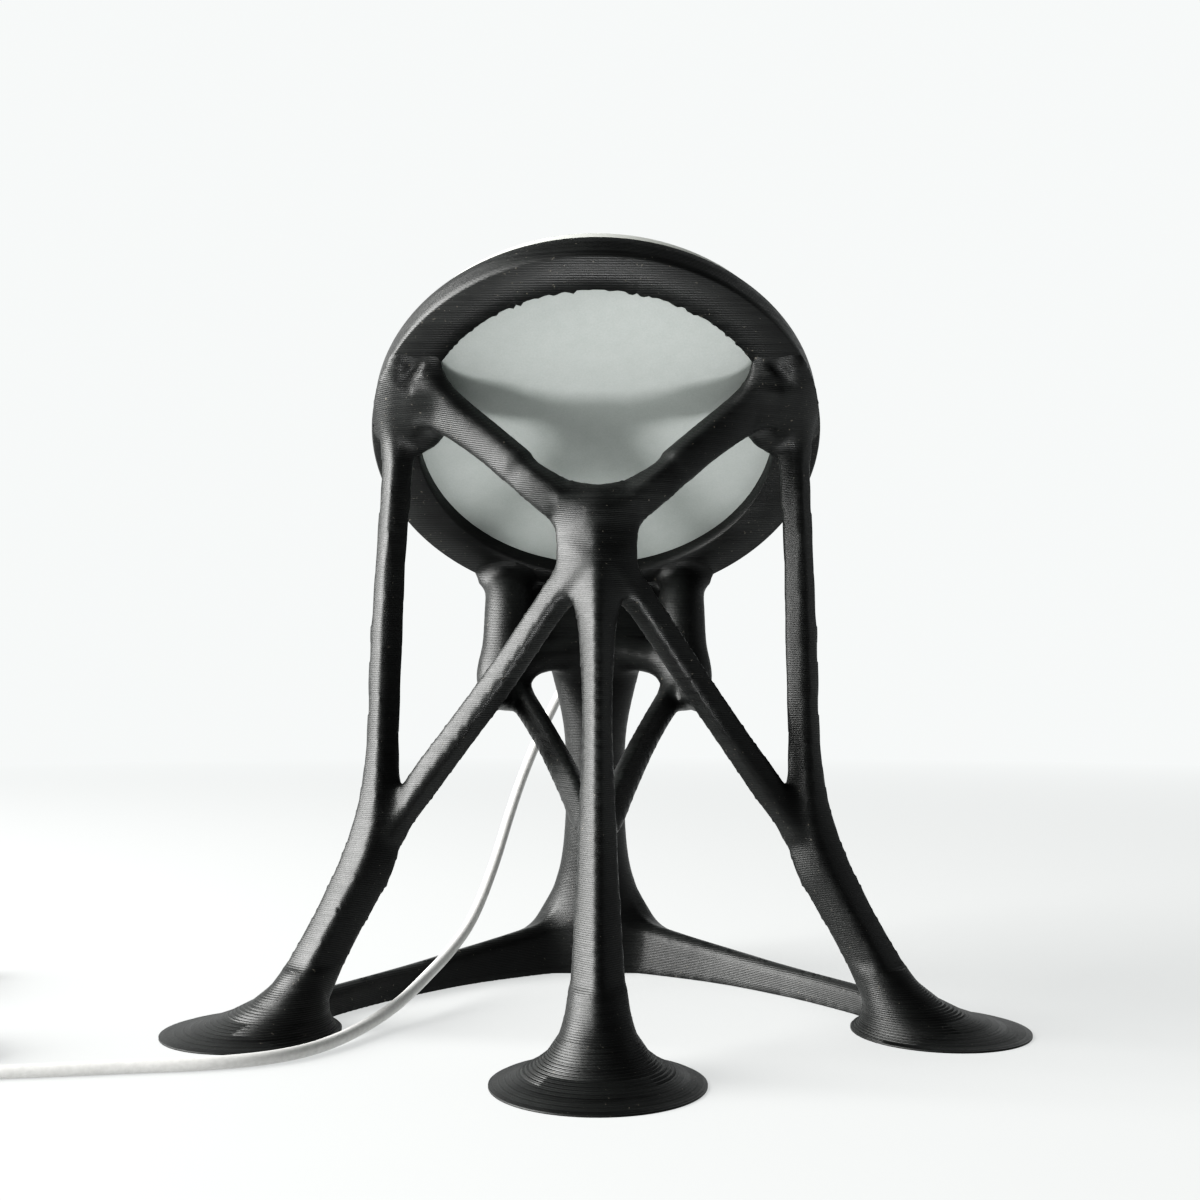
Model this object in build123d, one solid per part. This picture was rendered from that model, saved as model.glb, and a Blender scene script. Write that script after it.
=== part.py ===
"""Round wireless charging pad on an organic, one-piece printed stand, with its thin lead.

The stand is one black print: a ring seat on a branching frame with four flared feet.
The pad sits in the ring and faces up and back.  All sizes are in millimetres, +Z is up,
+X is to the right, the single front foot points to -Y and the plane X = 0 is the middle.
"""
from math import cos, pi, radians, sin, tan
from build123d import *

# ---- driving sizes: pad and ring seat -------------------------------------------------
PAD_R = 45.0               # the charging pad is 90 across
PAD_THICK = 7.9
SEAT_TILT = 39.6           # slope of the pad's face against the floor
SEAT_Y, SEAT_Z = 6.4, 116.9    # centre of the ring's underside
RING_R = PAD_R + 2.0
BORE_R = 39.2               # measured uphill; the bore is an oval
BORE_NARROWS = 1.6          # its radius is this much less across the slope
BORE_LOW = 1.2              # and this much less downhill
RING_THICK = 6.5
RECESS_Z = 3.6             # the ledge that the pad rests on, above the ring's underside
PAD_GAP = 0.2
NOTCH_WIDE = 5.4           # gap in the lip for the lead
NOTCH_Z = 4.2

# ---- driving sizes: feet and floor frame ----------------------------------------------
FRONT_FOOT_Y = -46.6
FRONT_FOOT_R = 18.4
SIDE_FOOT_X, SIDE_FOOT_Y = 66.7, -10.1
SIDE_FOOT_R = 17.2
REAR_Y = 54.5
REAR_R = 10.4

# ---- driving sizes: pad shells and inner pieces ---------------------------------------
SHELL_WALL = 1.2
SHELL_TOP = 8.4            # parting line between base shell and cover
COVER_PLATE = 1.2
SNAP_TALL = 1.0
GRIP_RING = (30.0, 34.0)
GRIP_GROOVE, GRIP_PROUD = 0.3, 0.4
CARRIER_R = 26.0
FERRITE_R, FERRITE_THICK = 25.0, 0.6
COIL_OUT, COIL_IN, COIL_THICK = 23.5, 10.0, 1.1
BOARD = (34.0, 10.5, 1.0)
BOARD_Y = 33.25
LEAD_X = 3.4               # where the two ends of the winding run to the board
LAMP_X = 12.0              # status lamp and its light pipe

# ---- driving sizes: lead and plug -----------------------------------------------------
CORD_R = 1.2
BOOT_ROOT_R, BOOT_TIP_R = 2.1, 1.6
BOOT_LONG = 13.5
NECK_R = 1.4
BOOT_Z = 6.5               # height of the lead's middle above the ring's underside
COIL_MID_R = 13.5          # put-away turns, at their middle
COIL_ROWS = 3
COIL_TURNS = 8.25
COIL_AT = (-131.0, -29.8)
TIE_WIDE, TIE_THICK = 4.8, 0.6
PLUG_BOOT = (1.6, 2.6, 9.0)    # small radius, large radius, length
PLUG_BODY = (15.4, 24.0, 7.2)
PLUG_SHELL = (12.0, 14.0, 4.5)     # width, length out of the moulding, height
SHELL_HELD = 5.0               # length of the steel shell inside the moulding
STEEL_THICK = 0.3
TONGUE_THICK = 1.9


# ---- helpers --------------------------------------------------------------------------
seat = Plane(
    origin=(0, SEAT_Y, SEAT_Z),
    x_dir=(1, 0, 0),
    z_dir=(0, sin(radians(SEAT_TILT)), cos(radians(SEAT_TILT))),
)


def on_seat(shape):
    """Carry a shape drawn flat, with the ring's underside at Z = 0, to the tilted seat."""
    return seat.location * shape


def seat_point(x, y, z):
    """Row-frame point of a point given in the seat's own directions."""
    return seat.from_local_coords(Vector(x, y, z))


def disc(radius, low, high):
    return Pos(0, 0, low) * Cylinder(radius, high - low, align=(Align.CENTER, Align.CENTER, Align.MIN))


def ring(outer, inner, low, high):
    return disc(outer, low, high) - disc(inner, low - 1, high + 1)


def slab(wide, deep, tall, x, y, low):
    return Pos(x, y, low) * Box(wide, deep, tall, align=(Align.CENTER, Align.CENTER, Align.MIN))


def save(shape, node):
    """Write one node, as one solid or a group of separate solids."""
    export_step(shape, f"parts/{node}.step")


# ---- struts ---------------------------------------------------------------------------
DIAMOND = 0.66             # 0.5 is a sharp diamond, 0.707 a circle


def section(centre, along, wide, deep):
    """Rounded-diamond face across a strut; its wide direction stays in the X-Z sense."""
    lead = Vector(1, 0, 0) if abs(along.X) < 0.85 else Vector(0, 0, 1)
    across = (lead - along * lead.dot(along)).normalized()
    frame = Plane(origin=centre, x_dir=across, z_dir=along)
    corners = [
        (1, 0), (DIAMOND, DIAMOND), (0, 1), (-DIAMOND, DIAMOND),
        (-1, 0), (-DIAMOND, -DIAMOND), (0, -1), (DIAMOND, -DIAMOND),
    ]
    points = [frame.from_local_coords(Vector(a * wide, b * deep, 0)) for a, b in corners]
    return Face(Wire.make_polygon(points, close=True))


def strut(stations):
    """Strut through stations (x, y, z, half width, half depth), faceted along its length."""
    places = [Vector(*s[:3]) for s in stations]
    faces = []
    for i, (x, y, z, wide, deep) in enumerate(stations):
        before = places[max(i - 1, 0)]
        after = places[min(i + 1, len(places) - 1)]
        faces.append(section(places[i], (after - before).normalized(), wide, deep))
    return loft(faces, ruled=True)


def flare(levels):
    """Stack of circles (x, y, z, radius) joined into one flared foot."""
    rims = [Pos(x, y, z) * Circle(radius) for x, y, z, radius in levels]
    return loft([rim.face() for rim in rims], ruled=True)


# stations are (x, y, z, half width, half depth), for the middle and the right-hand side;
# the width is what shows from the front, the depth runs towards the front foot
front_leg = [
    (0, FRONT_FOOT_Y + 1.2, 6, 7.2, 7.2),
    (0, -44.0, 11, 5.9, 6.0),
    (0, -41.5, 18, 4.8, 5.0),
    (0, -36.8, 34, 3.9, 4.3),
    (0, -32.0, 50.5, 3.2, 3.8),
    (0, -28.0, 63, 3.0, 3.6),
    (0, -23.4, 78.5, 3.8, 4.4),
    (0, -19.2, 88, 6.8, 5.2),
    (0, -16.8, 95.5, 8.6, 5.4),
    (0, -15.6, 101.0, 8.4, 4.6),
    (0, -14.8, 105.4, 5.6, 3.2),
]
arm = [
    (3.0, -16.2, 100.6, 5.4, 4.4),
    (7.4, -15.2, 103.0, 4.4, 3.9),
    (12.8, -13.6, 106.9, 3.4, 3.6),
    (19.4, -9.4, 113.0, 3.3, 3.4),
    (26.3, -4.4, 118.8, 4.2, 3.7),
    (32.4, 0.2, 123.8, 6.8, 4.2),
    (37.6, 3.2, 126.0, 7.8, 3.6),
]
side_leg = [
    (40.6, 3.6, 127.0, 3.4, 3.4),
    (40.9, 2.6, 119.6, 3.4, 3.4),
    (41.2, 0.6, 105.3, 2.8, 3.2),
    (41.8, -0.6, 91.5, 2.8, 3.1),
    (41.9, -2.1, 74.9, 3.1, 3.1),
    (42.1, -3.6, 56.9, 3.0, 3.2),
    (42.0, -5.0, 44.5, 4.6, 4.0),
    (42.6, -5.6, 37.2, 5.6, 4.6),
    (44.8, -6.4, 31.6, 5.2, 4.8),
    (47.9, -7.1, 26.0, 4.8, 4.9),
    (51.8, -8.1, 18.6, 4.6, 5.1),
    (56.4, -9.1, 10.0, 5.0, 5.6),
    (59.6, -9.7, 4.4, 6.4, 7.0),
]
diagonal = [
    (2.6, -17.6, 90.5, 4.6, 4.4),
    (8.4, -17.2, 83.0, 3.5, 3.6),
    (18.4, -13.6, 68.6, 3.3, 3.4),
    (27.3, -9.8, 56.4, 3.3, 3.4),
    (33.8, -7.3, 47.6, 3.5, 3.5),
    (41.0, -5.6, 37.0, 4.6, 4.2),
]
brace = [
    (18.6, 22.4, 66.0, 4.0, 4.0),
    (15.3, 18.0, 63.0, 2.8, 2.9),
    (9.9, 1.4, 55.7, 2.5, 2.7),
    (4.8, -16.6, 47.5, 2.5, 2.8),
    (0.6, -35.6, 38.5, 2.8, 3.4),
]
tie_strut = [
    (19.4, 22.6, 66.0, 4.4, 4.2),
    (21.8, 12.0, 64.2, 2.8, 2.9),
    (23.8, 0.0, 62.8, 2.6, 2.8),
    (24.2, -10.6, 61.4, 3.0, 3.4),
]
post = [
    (19.0, 22.8, 62.5, 3.6, 3.8),
    (20.2, 23.8, 68.0, 6.0, 5.6),
    (19.6, 27.0, 76.0, 5.6, 5.4),
    (19.6, 31.4, 84.0, 5.6, 5.4),
    (22.6, 37.4, 93.0, 7.0, 5.2),
]
bridge = [
    (-19.0, 25.4, 72.0, 3.8, 4.2),
    (0, 30.6, 75.0, 3.9, 5.4),
    (19.0, 25.4, 72.0, 3.8, 4.2),
]
web = [
    (0, 31.4, 74.0, 21.0, 3.4),
    (0, 35.6, 82.5, 20.0, 3.6),
    (0, 41.8, 89.4, 24.0, 3.6),
]
column = [
    (0, 33.6, 77.0, 12.8, 6.0),
    (0, 35.8, 70.0, 10.4, 6.6),
    (0, 39.2, 58.0, 7.7, 6.8),
    (0, 42.8, 46.5, 7.1, 6.6),
    (0, 46.0, 37.0, 7.2, 6.8),
    (0, 49.4, 27.0, 8.4, 7.2),
    (0, 51.8, 19.5, 10.8, 8.2),
    (0, 53.4, 13.0, 14.4, 9.2),
    (0, 54.2, 8.0, 16.4, 9.8),
]

# middle of the right-hand beam from the column to the side foot: x, y, half width, height
beam_line = [
    (2.0, 55.0, 8.0, 15.0),
    (9.1, 52.4, 6.6, 13.4),
    (19.9, 45.2, 5.4, 11.0),
    (30.2, 37.1, 4.5, 9.2),
    (38.7, 28.3, 3.9, 7.9),
    (46.0, 19.7, 3.6, 7.1),
    (52.4, 10.9, 3.7, 6.7),
    (57.4, 3.4, 4.4, 6.4),
    (61.5, -3.6, 5.6, 4.2),
]


def beam():
    """Low curved wall on the floor: nearly upright in front, its top sloping down to the rear."""
    spots = [Vector(x, y, 0) for x, y, half, tall in beam_line]
    faces = []
    for i, (x, y, half, tall) in enumerate(beam_line):
        run = spots[min(i + 1, len(spots) - 1)] - spots[max(i - 1, 0)]
        outward = Vector(-run.Y, run.X, 0).normalized()
        points = [
            spots[i] - outward * half,
            spots[i] + outward * half,
            spots[i] + outward * (0.55 * half) + Vector(0, 0, 0.72 * tall),
            spots[i] - outward * (0.35 * half) + Vector(0, 0, tall),
            spots[i] - outward * (0.8 * half) + Vector(0, 0, 0.9 * tall),
        ]
        faces.append(Face(Wire.make_polygon(points, close=True)))
    return loft(faces, ruled=True)


def side_foot():
    """Flared foot whose middle moves in towards the leaning leg as it rises."""
    levels = []
    for z, radius, inward in (
        (0, SIDE_FOOT_R, 0), (0.9, SIDE_FOOT_R, 0), (2.0, 13.6, 2.2), (3.6, 10.4, 4.8),
        (6.0, 7.6, 7.4), (9.0, 6.0, 9.4), (12.0, 5.0, 11.0),
    ):
        levels.append((SIDE_FOOT_X - inward, SIDE_FOOT_Y + 0.06 * inward, z, radius))
    return flare(levels)


def front_foot():
    levels = []
    for z, radius, back in (
        (0, FRONT_FOOT_R, 0), (0.9, FRONT_FOOT_R, 0), (2.2, 14.4, 0.3),
        (4.7, 8.9, 0.9), (8.0, 6.9, 1.7), (11.5, 5.6, 2.7),
    ):
        levels.append((0, FRONT_FOOT_Y + back, z, radius))
    return flare(levels)


def rear_foot():
    levels = []
    for z, radius, front in ((0, REAR_R, 0), (5.0, REAR_R - 0.3, 0.2), (12.0, 9.4, 1.0), (20.0, 7.6, 2.6)):
        levels.append((0, REAR_Y - front, z, radius))
    return flare(levels)


def right_half():
    pieces = [strut(arm), strut(side_leg), strut(diagonal), strut(brace), strut(tie_strut), strut(post)]
    pieces += [beam(), side_foot()]
    pieces.append(Pos(19.4, 23.2, 66.4) * Sphere(5.6))
    return pieces


def printed_stand():
    """The whole print: struts, feet and ring fused, then the seat and its notch cut."""
    right = right_half()
    left = [mirror(piece, about=Plane.YZ) for piece in right]
    middle = [strut(front_leg), strut(bridge), strut(web), strut(column), front_foot(), rear_foot()]
    body = on_seat(disc(RING_R, 0, RING_THICK))
    for piece in middle + right + left:
        body = body + piece
    oval = Ellipse(BORE_R - BORE_NARROWS, BORE_R - BORE_LOW / 2)
    body = body - on_seat(Pos(0, -BORE_LOW / 2, -0.4) * extrude(oval, RING_THICK + 1))
    body = body - on_seat(disc(PAD_R + PAD_GAP, RECESS_Z, 40))
    body = body - on_seat(slab(NOTCH_WIDE, 6, 20, 0, PAD_R + 1.5, NOTCH_Z))
    return body


stand = printed_stand()
save(stand, "printed_stand")
print("stand: solids", len(stand.solids()), "valid", stand.is_valid, "volume", round(stand.volume))


# ---- pad: shells, grip ring, coil and electronics -------------------------------------
base_floor = RECESS_Z + SHELL_WALL
pad_top = RECESS_Z + PAD_THICK
cover_under = pad_top - COVER_PLATE
board_low = base_floor + 0.5
board_top = board_low + BOARD[2]
wire_z = board_top + 0.4


def rounded_rim(shape, height, size):
    """Round the outer rim of a disc-like shell at one height."""
    rims = [e for e in shape.edges().filter_by(GeomType.CIRCLE) if abs(e.radius - PAD_R) < 0.01]
    return fillet([e for e in rims if abs(e.center().Z - height) < 0.01], size)


def pad_base_shell():
    """Shallow cup with a rounded back edge, board posts, and openings for lead and light pipe."""
    cup = disc(PAD_R, RECESS_Z, SHELL_TOP) - disc(PAD_R - SHELL_WALL, base_floor, SHELL_TOP + 1)
    cup = rounded_rim(cup, RECESS_Z, 0.8)
    for x in (-14.5, 14.5):
        for y in (BOARD_Y - 3.6, BOARD_Y + 3.6):
            cup += disc(1.3, base_floor - 0.2, board_low).moved(Location((x, y, 0)))
    cup -= Pos(0, PAD_R, BOOT_Z) * Rot(90, 0, 0) * Cylinder(NECK_R + 0.05, 8)
    cup -= slab(2 * NECK_R + 0.1, 8, 4, 0, PAD_R, BOOT_Z)
    cup -= slab(2.2, 8, 0.9, LAMP_X, PAD_R - 1, 6.6)
    return on_seat(cup)


def pad_top_cover():
    """Flat cover with a rounded rim, a snap ring that goes inside the cup, and the grip groove."""
    lid = disc(PAD_R, SHELL_TOP, pad_top) - disc(PAD_R - SHELL_WALL - 1.3, SHELL_TOP - 1, cover_under)
    lid = rounded_rim(lid, pad_top, 1.1)
    snap = ring(PAD_R - SHELL_WALL - 0.1, PAD_R - SHELL_WALL - 1.3, SHELL_TOP - SNAP_TALL, SHELL_TOP)
    lid += snap
    lid -= ring(GRIP_RING[1], GRIP_RING[0], pad_top - GRIP_GROOVE, pad_top + 1)
    lid -= slab(5.2, 5, 3, 0, PAD_R - 2, SHELL_TOP - SNAP_TALL - 1.6)
    lid -= slab(2.4, 5, 1.0, LAMP_X, PAD_R - 3, SHELL_TOP - SNAP_TALL - 0.2)
    return on_seat(lid)


def top_grip_ring():
    inner, outer = GRIP_RING
    return on_seat(ring(outer - 0.05, inner + 0.05, pad_top - GRIP_GROOVE, pad_top + GRIP_PROUD))


def coil_carrier():
    """Spoked plastic tray that lifts ferrite and coil against the cover."""
    top = cover_under - COIL_THICK - FERRITE_THICK
    tray = ring(CARRIER_R, CARRIER_R - 2.5, base_floor, top) + ring(8.0, 4.0, base_floor, top)
    spoke = slab(CARRIER_R - 8.5, 2.4, top - base_floor, CARRIER_R / 2 + 3, 0, base_floor)
    for turn in range(6):
        tray += Rot(0, 0, 30 + 60 * turn) * spoke
    return on_seat(tray)


def ferrite_sheet():
    top = cover_under - COIL_THICK
    return on_seat(disc(FERRITE_R, top - FERRITE_THICK, top))


def charging_coil():
    return on_seat(ring(COIL_OUT, COIL_IN, cover_under - COIL_THICK, cover_under))


def coil_leads():
    """The two ends of the winding, led flat over the ferrite to the board."""
    leads = []
    low = cover_under - COIL_THICK + 0.15
    far = BOARD_Y - BOARD[1] / 2 + 1.6
    for x in (-LEAD_X, LEAD_X):
        leads.append(slab(0.8, far - COIL_OUT, 0.8, x, (far + COIL_OUT) / 2, low))
    return on_seat(Compound(leads))


def circuit_board():
    wide, deep, tall = BOARD
    plate = slab(wide, deep, tall, 0, BOARD_Y, board_low)
    return on_seat(fillet(plate.edges().filter_by(Axis.Z), 1.0))


def on_board(places, wide, deep, tall):
    """Like chips soldered on the board, as one group of separate solids."""
    return on_seat(Compound([slab(wide, deep, tall, x, y, board_top) for x, y in places]))


def buck_inductor():
    body = slab(4.0, 4.0, 1.5, -6.6, BOARD_Y + 1.2, board_top)
    return on_seat(chamfer(body.edges().filter_by(Axis.Z), 0.6))


def light_pipe():
    """Clear bar from the lamp through the wall of the cup."""
    reach = (PAD_R ** 2 - LAMP_X ** 2) ** 0.5
    low = BOARD_Y + BOARD[1] / 2 - 0.5
    return on_seat(slab(1.9, reach - low, 0.7, LAMP_X, (reach + low) / 2, 6.7))


def supply_wires():
    """Two insulated wires from the lead's end to the board."""
    far = PAD_R - SHELL_WALL - 1.0
    near = BOARD_Y + BOARD[1] / 2 - 2.0
    wire = Rot(90, 0, 0) * Cylinder(0.4, far - near)
    return on_seat(Compound([Pos(x, (far + near) / 2, wire_z) * wire for x in (-0.6, 0.6)]))


# ---- lead: boot, tube, put-away coil, tie and plug ------------------------------------
def pad_boot():
    """Rubber boot: a flange inside the wall, a neck through it and a tapered sleeve outside."""
    wall_in = PAD_R - SHELL_WALL
    flange = Pos(0, wall_in - 0.5, BOOT_Z) * Box(4.4, 0.96, 2 * NECK_R)
    neck = Pos(0, PAD_R - 0.3, BOOT_Z) * Rot(-90, 0, 0) * Cylinder(NECK_R, 1.9)
    sleeve = Pos(0, PAD_R + 0.25 + (BOOT_LONG - 0.25) / 2, BOOT_Z) * Rot(-90, 0, 0) * Cone(
        BOOT_ROOT_R, BOOT_TIP_R, BOOT_LONG - 0.25)
    return on_seat(flange + neck + sleeve)


exit_point = seat_point(0, PAD_R + BOOT_LONG, BOOT_Z)

# The lead leaves the boot along the seat's slope, hangs behind the column, passes over the
# left floor beam, comes round in front of the left foot and lies on the floor.
lead_route = [
    tuple(exit_point),
    (-1.2, 58.6, 79.4),
    (-4.4, 61.6, 72.4),
    (-9.0, 60.6, 64.6),
    (-13.2, 58.4, 55.4),
    (-17.6, 54.4, 44.6),
    (-21.2, 48.6, 34.4),
    (-24.0, 41.2, 24.0),
    (-27.6, 31.8, 14.4),
    (-31.6, 21.0, 10.4),
    (-35.6, 9.2, 7.0),
    (-39.6, -3.0, 3.6),
    (-44.6, -14.4, 1.5),
    (-50.4, -26.0, 1.25),
    (-58.4, -34.6, 1.22),
    (-69.4, -38.8, 1.2),
    (-82.6, -40.4, 1.22),
    (-97.0, -41.8, 1.2),
    (-110.0, -43.0, 1.22),
    (-121.0, -43.9, 1.6),
    (COIL_AT[0], COIL_AT[1] - COIL_MID_R - 0.8, 2.4),
]


def arc_radii(route):
    """The largest arc each corner can take: 0.45 of the shorter run over tan of half the turn."""
    points = [Vector(*p) for p in route]
    radii = []
    for before, here, after in zip(points, points[1:], points[2:]):
        turn = (here - before).get_angle(after - here)
        shorter = min((here - before).length, (after - here).length)
        radii.append(0.45 * shorter / tan(radians(turn) / 2))
    return radii


def tube(route, radius, name):
    """Round tube along straight runs joined by tangent arcs."""
    radii = arc_radii(route)
    wire = FilletPolyline(*route, radius=radii).wire()
    start = Plane(origin=wire @ 0, z_dir=wire % 0)
    body = sweep(start * Circle(radius), path=wire)
    print(name, "length", round(wire.length, 1), "volume share",
          round(body.volume / (pi * radius ** 2 * wire.length), 4), "smallest bend", round(min(radii), 1))
    return body, wire.length


coil_half = COIL_ROWS * CORD_R


def cord_coil():
    """Outer shape of the put-away turns: a ring with a rounded square section."""
    x, y = COIL_AT
    body = ring(COIL_MID_R + coil_half, COIL_MID_R - coil_half, 0, 2 * coil_half)
    body = fillet(body.edges().filter_by(GeomType.CIRCLE), 1.0)
    room = slab(2 * coil_half + 3, TIE_WIDE + 0.2, 2 * coil_half + 2, COIL_MID_R, 0, -1)
    return Pos(x, y, 0) * (body - (room - tied_turns()))


def tied_turns():
    """Block that the turns fill where the tie presses them together."""
    across = 2 * (coil_half - TIE_THICK)
    return slab(across, TIE_WIDE + 3, across, COIL_MID_R, 0, TIE_THICK)


def cord_tie():
    """Strap pulled tight round the turns, so that it sits flush with them."""
    x, y = COIL_AT
    strap = slab(2 * coil_half, TIE_WIDE, 2 * coil_half, COIL_MID_R, 0, 0)
    strap = fillet(strap.edges().filter_by(Axis.Y), 1.0)
    return Pos(x, y, 0) * (strap - tied_turns())


plug_z = PLUG_BODY[2] / 2
tail_route = [
    (COIL_AT[0] - COIL_MID_R - 2 * CORD_R, COIL_AT[1] + 2.0, plug_z),
    (COIL_AT[0] - COIL_MID_R - 2.9, COIL_AT[1] + 10.0, plug_z),
    (COIL_AT[0] - COIL_MID_R - 5.0, COIL_AT[1] + 18.6, plug_z),
    (COIL_AT[0] - COIL_MID_R - 5.6, COIL_AT[1] + 27.0, plug_z),
]
plug_x, plug_y = tail_route[-1][:2]
mould_front = plug_y + PLUG_BOOT[2] + PLUG_BODY[1]
shell_back = mould_front - SHELL_HELD
tongue_low = plug_z - PLUG_SHELL[2] / 2 + STEEL_THICK


def plug_boot():
    small, large, long = PLUG_BOOT
    return Pos(plug_x, plug_y + long / 2, plug_z) * Rot(-90, 0, 0) * Cone(small, large, long)


def plug_body():
    wide, long, tall = PLUG_BODY
    body = Pos(plug_x, mould_front - long / 2, plug_z) * Box(wide, long, tall)
    body = fillet(body.edges().filter_by(Axis.Y), 1.6)
    room = Box(PLUG_SHELL[0], SHELL_HELD, PLUG_SHELL[2])
    return body - Pos(plug_x, shell_back + SHELL_HELD / 2, plug_z) * room


def plug_shell():
    """Folded steel sleeve with its two latch windows; its rear end sits in the moulding."""
    wide, out, tall = PLUG_SHELL
    long = out + SHELL_HELD
    inside = Box(wide - 2 * STEEL_THICK, long + 1, tall - 2 * STEEL_THICK)
    sleeve = Box(wide, long, tall) - inside
    sleeve = Pos(plug_x, shell_back + long / 2, plug_z) * sleeve
    for dx in (-2.6, 2.6):
        sleeve -= Pos(plug_x + dx, shell_back + long - 7.0, plug_z + 2) * Box(2.2, 2.4, 3)
    return sleeve


def plug_tongue():
    """Plastic tongue, set back from the mouth of the steel shell."""
    long = PLUG_SHELL[1] + SHELL_HELD - 1.0
    wide = PLUG_SHELL[0] - 2 * STEEL_THICK - 0.1
    return slab(wide, long, TONGUE_THICK, plug_x, shell_back + long / 2, tongue_low)


def plug_contacts():
    """Four gold strips on the tongue."""
    y, low = mould_front + 4.6, tongue_low + TONGUE_THICK
    return Compound([slab(1.1, 8.6, 0.15, plug_x + dx, y, low) for dx in (-3.5, -1.0, 1.0, 3.5)])


save(pad_base_shell(), "pad_base_shell")
save(pad_top_cover(), "pad_top_cover")
save(top_grip_ring(), "top_grip_ring")
save(coil_carrier(), "coil_carrier")
save(ferrite_sheet(), "ferrite_sheet")
save(charging_coil(), "charging_coil")
save(coil_leads(), "coil_leads")
save(circuit_board(), "circuit_board")
save(on_board([(0.0, BOARD_Y - 1.4)], 5.0, 5.0, 0.9), "control_chip")
save(on_board([(5.6, BOARD_Y - 2.6), (5.6, BOARD_Y + 1.4)], 3.2, 3.2, 0.9), "bridge_chips")
save(on_board([(9.6 + 2.2 * i, BOARD_Y - 2.8) for i in range(3)], 1.6, 3.2, 1.2), "tuning_capacitors")
save(on_board([(-11.4, BOARD_Y - 2.6 + 2.4 * i) for i in range(3)], 3.2, 1.6, 1.2), "supply_capacitors")
save(buck_inductor(), "buck_inductor")
save(on_board([(LAMP_X, BOARD_Y + 3.4)], 1.6, 0.8, 0.6), "status_lamp")
save(light_pipe(), "light_pipe")
save(supply_wires(), "supply_wires")
save(pad_boot(), "pad_boot")
lead, lead_length = tube(lead_route, CORD_R, "lead")
save(lead, "charging_lead")
save(cord_coil(), "lead_coil")
save(cord_tie(), "lead_tie")
tail, tail_length = tube(tail_route, CORD_R, "tail")
save(tail, "lead_tail")
save(plug_boot(), "plug_boot")
save(plug_body(), "plug_body")
save(plug_shell(), "plug_shell")
save(plug_tongue(), "plug_tongue")
save(plug_contacts(), "plug_contacts")
print("whole lead", round(lead_length + tail_length + COIL_TURNS * 2 * pi * COIL_MID_R))
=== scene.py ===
"""Round wireless charging pad in an organic, one-piece black print, with its thin white lead.

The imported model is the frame.  Sizes here are in millimetres in the row's own directions
(+X right, +Y to the rear column, +Z up) and are turned into metres where a mesh is made.
"""

import bpy
import numpy as np
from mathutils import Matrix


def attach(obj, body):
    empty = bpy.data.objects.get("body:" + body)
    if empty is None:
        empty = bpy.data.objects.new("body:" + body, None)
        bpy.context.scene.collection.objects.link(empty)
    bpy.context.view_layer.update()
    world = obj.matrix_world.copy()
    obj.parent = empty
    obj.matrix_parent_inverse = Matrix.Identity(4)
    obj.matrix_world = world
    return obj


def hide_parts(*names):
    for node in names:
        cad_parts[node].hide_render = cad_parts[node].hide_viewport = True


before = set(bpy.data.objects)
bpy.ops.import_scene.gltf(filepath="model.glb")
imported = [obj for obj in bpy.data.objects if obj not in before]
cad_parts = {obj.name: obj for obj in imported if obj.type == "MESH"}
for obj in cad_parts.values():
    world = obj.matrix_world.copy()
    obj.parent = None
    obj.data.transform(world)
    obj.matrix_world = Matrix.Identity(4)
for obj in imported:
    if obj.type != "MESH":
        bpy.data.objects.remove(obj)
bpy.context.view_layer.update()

# ---- Camera ---------------------------------------------------------------------------
# A normal lens low over the table, on the side of the single front foot, a little left of
# the middle and tipped up by a few degrees.
MM = 0.001
EYE = (-1.7, -286.1, 66.0)
TIP_UP, TURN_RIGHT = 3.68, 0.49

lens = bpy.data.cameras.new("studio_camera")
lens.lens, lens.sensor_width = 42.0, 36.0
lens.clip_start, lens.clip_end = 0.01, 60.0
camera = bpy.data.objects.new("studio_camera", lens)
camera.location = np.array(EYE) * MM
camera.rotation_euler = (np.radians(90 + TIP_UP), 0, np.radians(-TURN_RIGHT))
bpy.context.scene.collection.objects.link(camera)
bpy.context.scene.camera = camera

# ---- Charging lead --------------------------------------------------------------------
# A 2.4 mm round lead in soft white PVC.  It leaves the pad's boot, hangs behind the column,
# crosses the left floor beam and lies on the table; the rest is wound into a tied coil.
LEAD_THICK = 2.4
SEAT_Y, SEAT_Z, SEAT_TILT = 6.4, 116.9, np.radians(39.6)
SEAT_UP = np.array([0, np.sin(SEAT_TILT), np.cos(SEAT_TILT)])
SEAT_DOWNHILL = np.array([0, np.cos(SEAT_TILT), -np.sin(SEAT_TILT)])
SEAT_AT = np.array([0, SEAT_Y, SEAT_Z])
BOOT_TIP = SEAT_AT + 58.5 * SEAT_DOWNHILL + 6.5 * SEAT_UP

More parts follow.
